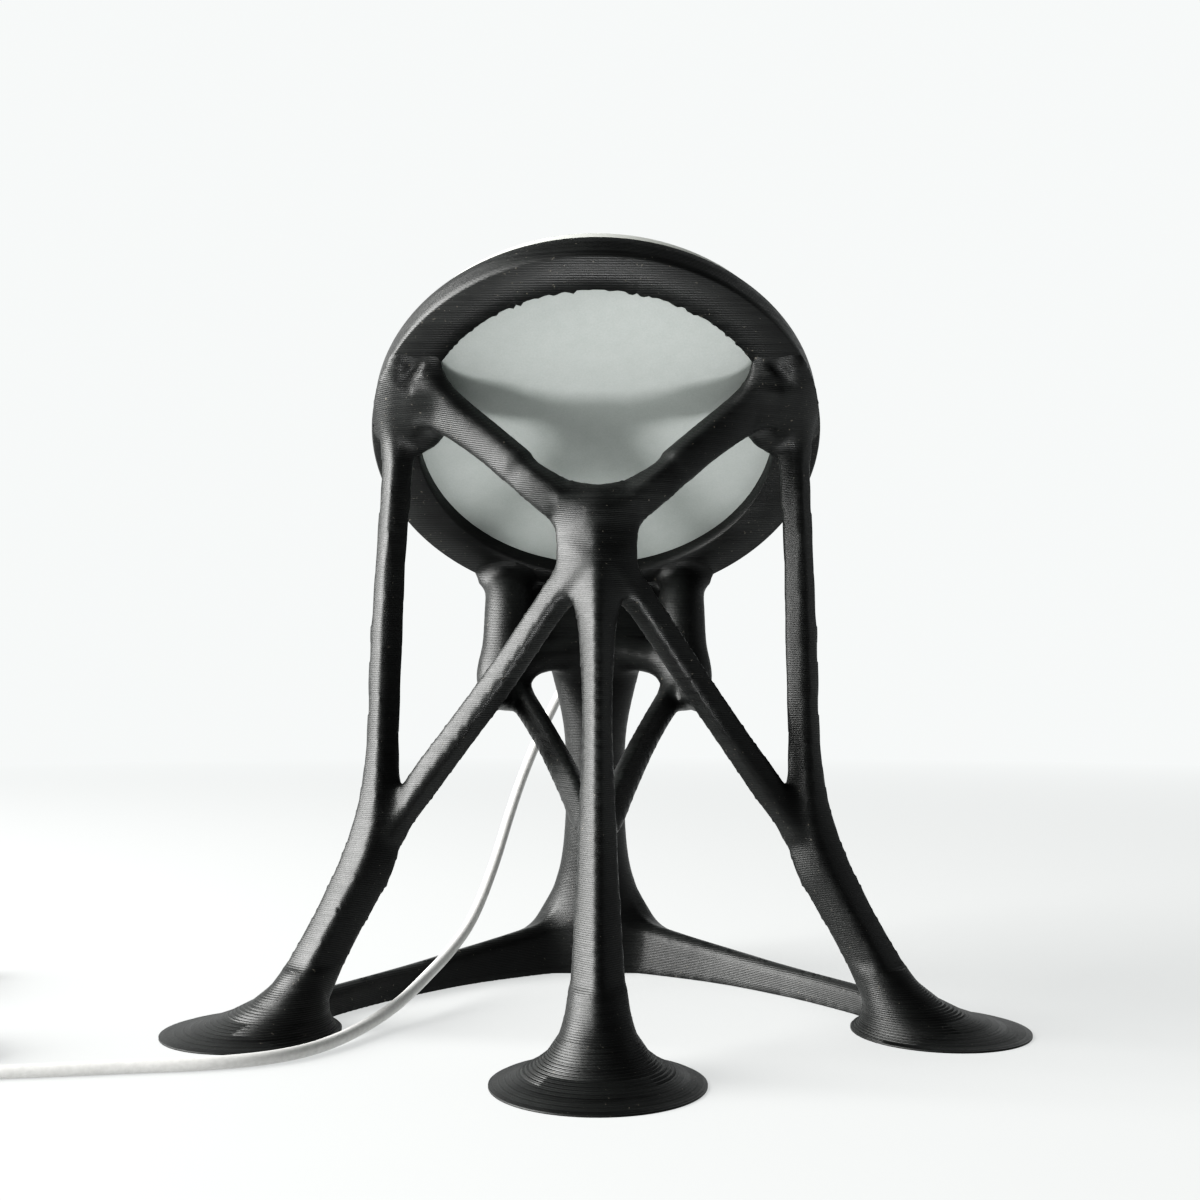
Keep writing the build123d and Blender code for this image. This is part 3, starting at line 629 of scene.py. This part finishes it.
def make_piece(name, shell, material, smooth=True):
    """Mesh object in metres from a shell in millimetres, with one material."""
    points, faces = shell
    mesh = bpy.data.meshes.new(name)
    mesh.from_pydata((np.asarray(points).reshape(-1, 3) * MM).tolist(), [], faces)
    mesh.polygons.foreach_set("use_smooth", np.full(len(mesh.polygons), smooth))
    mesh.update()
    mesh.materials.append(material)
    piece = bpy.data.objects.new(name, mesh)
    bpy.context.scene.collection.objects.link(piece)
    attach(piece, "root")
    return piece


RING_TURNS = 320
RING_PROFILE = [  # radius and height, from the bore's lower edge round the outside and back
    (BORE_R, 0.35), (BORE_R + 0.35, 0), (42.0, 0), (RING_R - 0.35, 0), (RING_R, 0.35), (RING_R, 2.2),
    (RING_R, 4.4), (RING_R, RING_THICK - 0.25), (RING_R - 0.25, RING_THICK), (PAD_R + 0.4, RING_THICK),
    (PAD_R + PAD_GAP, RING_THICK - 0.2), (PAD_R + PAD_GAP, LEDGE), (41.0, LEDGE), (BORE_R, LEDGE),
    (BORE_R, 2.0),
]
# columns of the profile that sag where the ledge was printed over air, and by what share
SAGGING = ((0, 1.0), (1, 0.8), (13, 0.0), (14, 0.6))
DEEPEST_SAG = 0.02     # as a share of the bore's radius
chance = np.random.default_rng(11)


def ring_shell():
    """Ring seat with the lead's notch in its lip, and sagged strands along the bore's upper edge."""
    rows = turned_rows(RING_PROFILE, RING_TURNS)
    x, y, z = rows[..., 0], rows[..., 1], rows[..., 2]
    in_notch = (np.abs(x) < NOTCH_HALF) & (y > NOTCH_FROM)
    z = np.where(in_notch, np.minimum(z, NOTCH_FLOOR), z)
    uphill = np.clip(-y[:, 0] / BORE_R, 0, 1)
    sag = chance.random(RING_TURNS) ** 3 * uphill**2
    shrink = np.ones_like(x)
    oval = bore_radius(x[:, 0], y[:, 0]) / BORE_R
    for column, share in SAGGING:
        shrink[:, column] = oval - DEEPEST_SAG * share * sag
    rows = np.stack([x * shrink, y * shrink, z], axis=-1)
    return to_seat(rows), grid_quads(RING_TURNS, len(RING_PROFILE))


LAYER = 0.36           # height of one printed layer
STEPPING = 0.6         # 1 gives square steps from layer to layer, 0 a smooth slope
FOOT_TURNS = 96
DRAWN_IN = 0.05        # the flange stays this share of its height inside the blended leg


def stepped_foot(levels, middle, lean):
    """Flange of the foot as its printed layers: each a flat tread and an upright edge, then lids."""
    tops = np.arange(0, levels[-1][0], LAYER)
    angle = np.linspace(0, 2 * np.pi, FOOT_TURNS, endpoint=False)
    rings = []
    for low in tops:
        for z in (low, low + LAYER):
            radius, moved = flare_at(levels, STEPPING * (low + 0.5 * LAYER) + (1 - STEPPING) * z)
            radius -= DRAWN_IN * low
            x = middle[0] + lean[0] * moved + radius * np.cos(angle)
            y = middle[1] + lean[1] * moved + radius * np.sin(angle)
            rings.append(np.stack([x, y, np.full_like(x, z)], axis=1))
    faces = grid_quads(len(rings), FOOT_TURNS, round_rows=False)
    faces = [face[::-1] for face in faces]
    last = (len(rings) - 1) * FOOT_TURNS
    faces += [list(range(FOOT_TURNS))[::-1], list(range(last, last + FOOT_TURNS))]
    return np.vstack(rings), faces


def layers_group():
    """Printed layers: ridges one layer apart up the piece, and a tone that changes at each layer."""
    sizes = [("Layer mm", LAYER), ("Waver", 0.25)]
    group, given, result = new_group("printed_layers", sizes, ["Ridge", "Tone"])
    place = put(group, "TexCoord").outputs["Object"]
    waver = put(group, "TexNoise", {"Vector": place, "Scale": 90.0, "Detail": 3.0}).outputs[0]
    waver = put(group, "Math", {0: waver, 1: given["Waver"]}, operation="MULTIPLY").outputs[0]
    per_metre = put(group, "Math", {0: 1000.0, 1: given["Layer mm"]}, operation="DIVIDE").outputs[0]
    height = put(group, "SeparateXYZ", {0: place}).outputs["Z"]
    count = put(group, "Math", {0: height, 1: per_metre, 2: waver}, operation="MULTIPLY_ADD").outputs[0]
    twice = put(group, "Math", {0: count, 1: 0.5}, operation="PINGPONG").outputs[0]
    whole = put(group, "Math", {0: count}, operation="FLOOR").outputs[0]
    ridge = put(group, "Math", {0: twice, 1: 0.5}, operation="DIVIDE").outputs[0]
    ridge = put(group, "Math", {0: ridge, 1: 0.6}, operation="POWER").outputs[0]
    tone = put(group, "TexWhiteNoise", {"W": whole}, noise_dimensions="1D").outputs[0]
    group.links.new(ridge, result["Ridge"])
    group.links.new(tone, result["Tone"])
    return group


LAYERS = layers_group()
# the grey of the support scars is also the colour of the painted glints, bright specks of painted highlight
LAMP_BLACK, WORN_BLACK, SCAR_AND_GLINT_GREY = (0.004, 0.0042, 0.0042), (0.011, 0.0118, 0.0114), (0.11, 0.1, 0.085)


def black_print_material():
    """Black PLA: satin, with layer ridges, tones that drift, support scars, and painted glints as bright
    specks.
    """
    material, tree, shader = new_material("black_print", IOR=1.46, Specular_IOR_Level=0.42)
    place, facing = [put(tree, "TexCoord").outputs[name] for name in ("Object", "Normal")]
    layers = put(tree, "Group", node_tree=LAYERS)
    layers.inputs["Layer mm"].default_value = LAYER
    layer_tone = layers.outputs["Tone"]
    grain = add_grain(tree, 0.5, 0.3)
    patches = put(tree, "TexNoise", {"Scale": 140.0, "Detail": 4.0, "Vector": place}).outputs[0]
    tone = put(tree, "Math", {0: layer_tone, 1: 0.35, 2: patches}, operation="MULTIPLY_ADD").outputs[0]
    body = blend(tree, spread(tree, tone, 0.35, 1.0), LAMP_BLACK, WORN_BLACK)

    under = spread(tree, put(tree, "SeparateXYZ", {0: facing}).outputs["Z"], -0.15, -0.6)
    specks = put(tree, "TexNoise", {"Scale": 1400.0, "Detail": 2.0, "Vector": place}).outputs[0]
    scar_and_glint = spread(tree, specks, 0.66, 0.76)
    for where in (under, spread(tree, patches, 0.45, 0.62)):
        scar_and_glint = put(tree, "Math", {0: scar_and_glint, 1: where}, operation="MULTIPLY").outputs[0]
    # sparse bright specks anywhere on the print are painted glints, a painted highlight in the base colour
    painted_glints = spread(tree, specks, 0.715, 0.75, 0.0, 0.7)
    scar_and_glint = put(tree, "Math", {0: scar_and_glint, 1: painted_glints}, operation="MAXIMUM").outputs[0]
    # the real support scars and the painted glints both lighten the colour to the same grey
    scarred_and_glinting = put(tree, "Mix", {0: scar_and_glint, 6: body, 7: (*SCAR_AND_GLINT_GREY, 1)}, data_type="RGBA").outputs[2]
    tree.links.new(scarred_and_glinting, shader.inputs["Base Color"])

    rough = put(tree, "Math", {0: layer_tone, 1: 0.06, 2: 0.33}, operation="MULTIPLY_ADD").outputs[0]
    rough = put(tree, "Math", {0: grain, 1: 0.2, 2: rough}, operation="MULTIPLY_ADD").outputs[0]
    tree.links.new(rough, shader.inputs["Roughness"])
    ridges = put(tree, "Bump", {"Strength": 0.55, "Distance": 0.07 * MM, "Height": layers.outputs["Ridge"]})
    skin = put(tree, "Bump", {"Strength": 0.5, "Distance": 0.06 * MM, "Normal": ridges.outputs[0]})
    rough_skin = put(tree, "Math", {0: grain, 1: scar_and_glint}, operation="ADD").outputs[0]
    tree.links.new(rough_skin, skin.inputs["Height"])
    tree.links.new(skin.outputs[0], shader.inputs["Normal"])
    return material


black_print = black_print_material()
side_foot = stepped_foot(SIDE_FLARE, SIDE_MIDDLE, SIDE_LEAN)
other_side = side_foot[0] * [-1, 1, 1], [face[::-1] for face in side_foot[1]]
front_foot = stepped_foot(FRONT_FLARE, FRONT_MIDDLE, FRONT_LEAN)
frame_shell = joined((body_points, body_quads.tolist()), ring_shell(), side_foot, other_side, front_foot)
stand = make_piece("printed_frame", frame_shell, black_print)
stand.data.set_sharp_from_angle(angle=np.radians(50))
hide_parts("printed_stand")
print("stand quads", len(frame_shell[1]))

# ---- Pad shells -----------------------------------------------------------------------
# A shallow cup and a flat lid of soft-touch light plastic, snapped together.  Both are turned
# from their outlines, with a wall's real thickness and rounded rims.
RIM_TURNS = 256
PAD_WALL, CUP_TOP, PAD_TOP = 1.2, 8.4, 11.5


def arc(middle, radius, start, end, steps=6):
    """Points of a round stretch of an outline, angles in degrees."""
    angle = np.radians(np.linspace(start, end, steps + 1))
    return [(middle[0] + radius * np.cos(a), middle[1] + radius * np.sin(a)) for a in angle]


def lid_of_revolution(outline, turns):
    """Closed shell from an outline that starts and ends on the axis, both middles as one point."""
    rows = turned_rows(outline[1:-1], turns)
    count = len(outline) - 2
    faces = grid_quads(turns, count, round_columns=False)
    points = np.vstack([rows.reshape(-1, 3), (0, 0, outline[0][1]), (0, 0, outline[-1][1])])
    first, last = turns * count, turns * count + 1
    for i in range(turns):
        j = (i + 1) % turns
        faces += [[i * count, first, j * count], [j * count + count - 1, last, i * count + count - 1]]
    return points, faces


def on_seat(shell):
    """Carry a shell drawn flat to the tilted seat."""
    return to_seat(shell[0]), shell[1]


cup_outline = [(0, LEDGE), (20, LEDGE), (36, LEDGE)] + arc((PAD_R - 0.8, LEDGE + 0.8), 0.8, -90, 0)
cup_outline += [(PAD_R, CUP_TOP - 0.12), (PAD_R - 0.12, CUP_TOP), (PAD_R - PAD_WALL, CUP_TOP)]
cup_outline += [(PAD_R - PAD_WALL, LEDGE + PAD_WALL), (20, LEDGE + PAD_WALL), (0, LEDGE + PAD_WALL)]
grey_back = moulded(
    "soft_grey_back", (0.325, 0.35, 0.335), (0.37, 0.395, 0.38), 0.55, grain_mm=0.35, depth_mm=0.03
)
cup = make_piece("pad_back", on_seat(lid_of_revolution(cup_outline, RIM_TURNS)), grey_back)
cup.data.set_sharp_from_angle(angle=np.radians(40))
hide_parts("pad_base_shell")

GRIP_IN, GRIP_OUT, GRIP_DEEP = 30.0, 34.0, 0.3
SNAP_IN, SNAP_OUT, SNAP_LOW = PAD_R - 2.5, PAD_R - 1.3, CUP_TOP - 1.0      # lip that holds the lid in the cup
lid_outline = [(0, PAD_TOP - PAD_WALL), (SNAP_IN, PAD_TOP - PAD_WALL), (SNAP_IN, SNAP_LOW)]
lid_outline += [(SNAP_OUT, SNAP_LOW), (SNAP_OUT, CUP_TOP), (PAD_R - 0.12, CUP_TOP), (PAD_R, CUP_TOP + 0.12)]
lid_outline += arc((PAD_R - 1.1, PAD_TOP - 1.1), 1.1, 0, 90)
lid_outline += [(GRIP_OUT, PAD_TOP), (GRIP_OUT, PAD_TOP - GRIP_DEEP), (GRIP_IN, PAD_TOP - GRIP_DEEP)]
lid_outline += [(GRIP_IN, PAD_TOP), (0, PAD_TOP)]
white_lid = moulded("soft_white_lid", (0.47, 0.48, 0.45), (0.53, 0.54, 0.51), 0.45, grain_mm=0.35)
cover = make_piece("pad_face", on_seat(lid_of_revolution(lid_outline, RIM_TURNS)), white_lid)
cover.data.set_sharp_from_angle(angle=np.radians(40))
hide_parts("pad_top_cover")

# ---- Grip ring ------------------------------------------------------------------------
# Silicone ring pressed into the groove of the face, domed and with two fine ribs, so that a
# phone doesn't slide on it.
GRIP_PROUD, GRIP_FIT = 0.4, 0.05
grip_low = PAD_TOP - GRIP_DEEP
grip_outline = [(GRIP_IN + GRIP_FIT, grip_low), (GRIP_OUT - GRIP_FIT, grip_low)]
for share in np.linspace(0, 1, 17):
    ribs = 0.55 + 0.45 * np.abs(np.cos(2 * np.pi * share))
    dome = GRIP_PROUD * ribs * np.sin(np.pi * np.clip(share, 0.04, 0.96)) ** 0.3
    grip_outline.append((GRIP_OUT - GRIP_FIT - share * (GRIP_OUT - GRIP_IN - 2 * GRIP_FIT), PAD_TOP + dome))
grey_silicone = moulded("grey_silicone", (0.16, 0.165, 0.165), (0.2, 0.205, 0.205), 0.62, grain_mm=0.5)
grip_rows = turned_rows(grip_outline, RIM_TURNS)
grip = make_piece("grip_ring", (to_seat(grip_rows), grid_quads(RIM_TURNS, len(grip_outline))), grey_silicone)
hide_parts("top_grip_ring")

# ---- Charging winding -----------------------------------------------------------------
# Flat spiral of enamelled copper wire, stuck to the ferrite under the lid.
WIRE_R, WINDING_IN, WINDING_OUT, WINDING_Z = 0.54, 10.0, 23.5, 9.75
winding_turns = int((WINDING_OUT - WINDING_IN) / (2 * WIRE_R))
STEPS_ROUND, WIRE_SIDES = 60, 8


def spiral_wire():
    """Tube on a flat spiral, closed by a face at each end."""
    angle = np.linspace(0, 2 * np.pi * (winding_turns - 1), STEPS_ROUND * (winding_turns - 1))
    middle = WINDING_IN + WIRE_R + 2 * WIRE_R * angle / (2 * np.pi)
    around = np.linspace(0, 2 * np.pi, WIRE_SIDES, endpoint=False)
    radius = middle[:, None] + WIRE_R * np.cos(around)
    x, y = radius * np.cos(angle)[:, None], radius * np.sin(angle)[:, None]
    z = np.broadcast_to(WINDING_Z + WIRE_R * np.sin(around), x.shape)
    faces = grid_quads(len(angle), WIRE_SIDES, round_rows=False)
    last = (len(angle) - 1) * WIRE_SIDES
    faces += [list(range(WIRE_SIDES)), list(range(last, last + WIRE_SIDES))[::-1]]
    return np.stack([x, y, z], axis=-1), faces


def metal(name, low, high, rough, scratch_mm=0.4):
    """Bare or plated metal: fine drawn scratches change its gloss."""
    material, tree, shader = new_material(name, Metallic=1.0)
    height = add_grain(tree, scratch_mm, 0.5)
    tree.links.new(blend(tree, spread(tree, height, 0.35, 0.65), low, high), shader.inputs["Base Color"])
    tree.links.new(spread(tree, height, 0.3, 0.7, rough - 0.08, rough + 0.08), shader.inputs["Roughness"])
    bump = put(tree, "Bump", {"Strength": 0.3, "Distance": 0.01 * MM, "Height": height})
    tree.links.new(bump.outputs[0], shader.inputs["Normal"])
    return material


enamelled_copper = metal("enamelled_copper", (0.55, 0.2, 0.09), (0.7, 0.3, 0.14), 0.3)
winding = make_piece("copper_winding", on_seat(spiral_wire()), enamelled_copper)
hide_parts("charging_coil")

# ---- Electronics and tray inside the pad ----------------------------------------------
# These keep the CAD's shapes; each gets the finish of the real part.
INNER_FINISHES = {
    "coil_carrier": moulded("nylon_tray", (0.5, 0.5, 0.47), (0.58, 0.58, 0.55), 0.5),
    "ferrite_sheet": moulded("dark_ferrite", (0.02, 0.02, 0.021), (0.04, 0.04, 0.04), 0.6, grain_mm=0.6),
    "coil_leads": enamelled_copper,
    "circuit_board": moulded("board_green", (0.01, 0.09, 0.035), (0.015, 0.13, 0.05), 0.3, grain_mm=1.2),
    "control_chip": moulded("chip_epoxy", (0.012, 0.012, 0.013), (0.025, 0.025, 0.026), 0.45),
    "bridge_chips": moulded("bridge_epoxy", (0.014, 0.014, 0.014), (0.028, 0.028, 0.028), 0.5),
    "tuning_capacitors": moulded("capacitor_tan", (0.3, 0.21, 0.12), (0.38, 0.27, 0.16), 0.4),
    "supply_capacitors": moulded("capacitor_brown", (0.24, 0.16, 0.09), (0.32, 0.22, 0.13), 0.4),
    "buck_inductor": moulded("inductor_grey", (0.05, 0.05, 0.052), (0.08, 0.08, 0.083), 0.6, grain_mm=0.7),
    "status_lamp": moulded("lamp_clear", (0.75, 0.78, 0.76), (0.85, 0.87, 0.85), 0.2),
    "light_pipe": moulded("pipe_clear", (0.72, 0.76, 0.76), (0.8, 0.83, 0.83), 0.15),
    "supply_wires": moulded("wire_red", (0.42, 0.02, 0.015), (0.5, 0.035, 0.03), 0.4),
}


def finish_node(name, material):
    """Give a CAD node a better finish in all of its material slots."""
    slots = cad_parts[name].data.materials
    for index in range(max(len(slots), 1)):
        if slots:
            slots[index] = material
        else:
            slots.append(material)


for node_name, finish in INNER_FINISHES.items():
    finish_node(node_name, finish)

# ---- Boot on the pad and boot on the plug ---------------------------------------------
# Tapered soft sleeves moulded over the lead, with grooves cut nearly to it, so that the lead
# bends softly where it goes in.
BOOT_TURNS = 40
GROOVE_SHARE = 0.16    # depth of a groove, as a share of the sleeve's radius


def grooved_sleeve(long, thick, thin, grooves):
    """Closed tapered sleeve along +Z with rounded grooves between its ribs."""
    along = np.linspace(0, 1, 12 * grooves + 1)
    cut = (0.5 - 0.5 * np.cos(2 * np.pi * grooves * along)) ** 3
    radius = thick + (thin - thick) * along - GROOVE_SHARE * thick * cut
    outline = [(0, 0)] + list(zip(radius, along * long)) + [(0, long)]
    return lid_of_revolution(outline, BOOT_TURNS)


def laid_along(shell, start, direction):
    """Turn a shell drawn up the Z axis so that it runs from a point in a direction."""
    up = np.array(direction, float) / np.linalg.norm(direction)
    side = np.cross(up, (1.0, 0, 0))
    side /= np.linalg.norm(side)
    turn = np.stack([np.cross(side, up), side, up])
    return np.asarray(shell[0]).reshape(-1, 3) @ turn + start, shell[1]


BOOT_LONG = 13.25
boot_root = BOOT_TIP - BOOT_LONG * SEAT_DOWNHILL
pad_sleeve = laid_along(grooved_sleeve(BOOT_LONG, 2.1, 1.6, 6), boot_root, SEAT_DOWNHILL)
boot_neck = laid_along(grooved_sleeve(2.2, 1.4, 1.4, 1), boot_root - 2.0 * SEAT_DOWNHILL, SEAT_DOWNHILL)
pad_boot = make_piece("pad_sleeve", joined(pad_sleeve, boot_neck), white_pvc)
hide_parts("pad_boot")

PLUG_START = np.array([-150.1, -2.8, 3.6])
PLUG_SLEEVE_LONG = 9.0
plug_sleeve = laid_along(grooved_sleeve(PLUG_SLEEVE_LONG, 1.6, 2.6, 4), PLUG_START, (0, 1, 0))
plug_boot = make_piece("plug_sleeve", plug_sleeve, white_pvc)
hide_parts("plug_boot")

# ---- Plug moulding --------------------------------------------------------------------
# White overmoulded grip of the plug: a pillow with rounded corners, three finger ribs on
# each broad side, and the steel shell coming out of its front.
PLUG_WIDE, PLUG_LONG, PLUG_TALL = 15.4, 24.0, 7.2
PLUG_SIDES, PLUG_RINGS = 64, 49


def plug_moulding():
    """Rounded-rectangle sections along the plug, narrower at both ends, ribbed in the middle."""
    around = np.linspace(0, 2 * np.pi, PLUG_SIDES, endpoint=False)
    along = np.linspace(0, 1, PLUG_RINGS)
    ends = (1 - np.clip(np.abs(2 * along - 1) - 0.9, 0, 1) / 0.1 * 0.08)[:, None]
    rear = (1 - 0.16 * np.clip(1 - along / 0.35, 0, 1) ** 2)[:, None]
    round_x = np.sign(np.cos(around)) * np.abs(np.cos(around)) ** 0.35
    round_z = np.sign(np.sin(around)) * np.abs(np.sin(around)) ** 0.35
    ribs = np.sin(np.pi * np.clip((along - 0.3) / 0.3, 0, 1) * 3) ** 2
    pressed = 1 - 0.05 * ribs[:, None] * (np.abs(round_z) > 0.9)
    x = PLUG_START[0] + 0.5 * PLUG_WIDE * round_x * ends * rear
    z = PLUG_START[2] + 0.5 * PLUG_TALL * round_z * ends * rear * pressed
    y = np.broadcast_to((PLUG_START[1] + PLUG_SLEEVE_LONG + PLUG_LONG * along)[:, None], x.shape)
    faces = grid_quads(PLUG_RINGS, PLUG_SIDES, round_rows=False)
    last = (PLUG_RINGS - 1) * PLUG_SIDES
    faces += [list(range(PLUG_SIDES)), list(range(last, last + PLUG_SIDES))[::-1]]
    return np.stack([x, y, z], axis=-1), faces


moulding = make_piece("plug_grip", plug_moulding(), white_pvc)
moulding.data.set_sharp_from_angle(angle=np.radians(50))
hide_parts("plug_body")

# ---- Plug metal, tongue and tie -------------------------------------------------------
# The steel shell, its white tongue with four gold strips, and the grey strap round the coil
# keep the CAD's shapes.
finish_node("plug_shell", metal("nickel_steel", (0.5, 0.5, 0.49), (0.62, 0.62, 0.6), 0.25))
finish_node("plug_tongue", moulded("tongue_white", (0.72, 0.72, 0.7), (0.8, 0.8, 0.78), 0.4))
finish_node("plug_contacts", metal("gold_plate", (0.83, 0.6, 0.25), (0.92, 0.7, 0.33), 0.2))
finish_node("lead_tie", moulded("tie_grey", (0.12, 0.12, 0.12), (0.17, 0.17, 0.17), 0.6, grain_mm=0.6))

# ---- Studio ---------------------------------------------------------------------------
# White table that fades into the white room, one large soft window on the left, a broad pale
# wall behind, and a dim room in front so that the black print keeps its blacks.
ROOM_WHITE = (0.925, 0.945, 0.94)
FLOOR_HALF = 9.0

TABLE_WHITE = (0.9, 0.91, 0.905, 1)
table_white, table_tree, table_shader = new_material("table_white", Roughness=0.8, Base_Color=TABLE_WHITE)
spot = put(table_tree, "TexCoord").outputs["Object"]
away = put(table_tree, "VectorMath", {0: spot}, operation="LENGTH").outputs["Value"]
fade = put(table_tree, "MapRange", {0: away, 1: 0.2, 2: 1.1, 3: 0.74, 4: 1.0}).outputs[0]
glow = put(table_tree, "MapRange", {0: away, 1: 0.2, 2: 1.1, 3: 0.81, 4: 1.0}).outputs[0]
far_white = put(table_tree, "Emission", {"Color": (*ROOM_WHITE, 1), "Strength": glow})
mixed = put(table_tree, "MixShader", {0: fade, 1: table_shader.outputs[0], 2: far_white.outputs[0]})
table_tree.links.new(mixed.outputs[0], table_tree.nodes["Material Output"].inputs["Surface"])
floor_mesh = bpy.data.meshes.new("studio_floor")
floor_corners = [(FLOOR_HALF * x, FLOOR_HALF * y, 0) for x, y in ((-1, -1), (1, -1), (1, 1), (-1, 1))]
floor_mesh.from_pydata(floor_corners, [], [(0, 1, 2, 3)])
floor_mesh.materials.append(table_white)
floor = bpy.data.objects.new("studio_floor", floor_mesh)
bpy.context.scene.collection.objects.link(floor)

world = bpy.data.worlds.new("studio")
world.use_nodes = True
world_tree = world.node_tree
room = world_tree.nodes["Background"]
room.inputs["Color"].default_value = (0.1, 0.105, 0.105, 1)
seen = put(world_tree, "Background", {"Color": (*ROOM_WHITE, 1)})
camera_sees = put(world_tree, "LightPath").outputs["Is Camera Ray"]
chosen = put(world_tree, "MixShader", {0: camera_sees, 1: room.outputs[0], 2: seen.outputs[0]})
world_tree.links.new(chosen.outputs[0], world_tree.nodes["World Output"].inputs["Surface"])
bpy.context.scene.world = world


def soft_light(name, place, aim, size, power, tint):
    """Square area light at a place, turned to shine on a point; metres and watts."""
    data = bpy.data.lights.new(name, "AREA")
    data.size, data.energy, data.color = size, power, tint
    light = bpy.data.objects.new(name, data)
    towards = np.array(aim, float) - place
    towards /= np.linalg.norm(towards)
    pitch = np.arccos(-towards[2])
    heading = np.arctan2(towards[1], towards[0]) - 0.5 * np.pi
    light.location = place
    light.rotation_euler = (pitch, 0, heading)
    light.visible_camera = False
    bpy.context.scene.collection.objects.link(light)


soft_light("window", (-1.05, -0.2, 0.38), (0, 0, 0.07), 1.0, 72.0, (1.0, 1.0, 0.985))
soft_light("back_wall", (0, 2.6, 1.2), (0, 0, 0.1), 4.0, 38.0, (0.985, 1.0, 0.995))
soft_light("right_wall", (2.4, 0.6, 1.0), (0, 0, 0.1), 2.0, 7.0, (0.985, 1.0, 0.995))

# light that the table throws back up at the pad, past the two arms, which shade it
SEAT_AIM = 40.5        # tilt of this light from straight up, in degrees
bounce_data = bpy.data.lights.new("table_bounce", "SPOT")
bounce_data.energy, bounce_data.shadow_soft_size = 0.85, 0.016
bounce_data.spot_size, bounce_data.spot_blend = np.radians(50), 0.6
bounce = bpy.data.objects.new("table_bounce", bounce_data)
bounce.location = (0, -0.1, 0.003)
bounce.rotation_euler = (np.radians(180 - SEAT_AIM), 0, 0)
bounce.visible_camera = False
bpy.context.scene.collection.objects.link(bounce)

# a camera's contrast: the darkest tones are pressed down
colours = bpy.context.scene.view_settings
colours.view_transform = "Standard"
colours.use_curve_mapping = True
contrast = colours.curve_mapping.curves[3]
for dark, shown in ((0.03, 0.012), (0.12, 0.1), (0.4, 0.42)):
    contrast.points.new(dark, shown)
colours.curve_mapping.update()
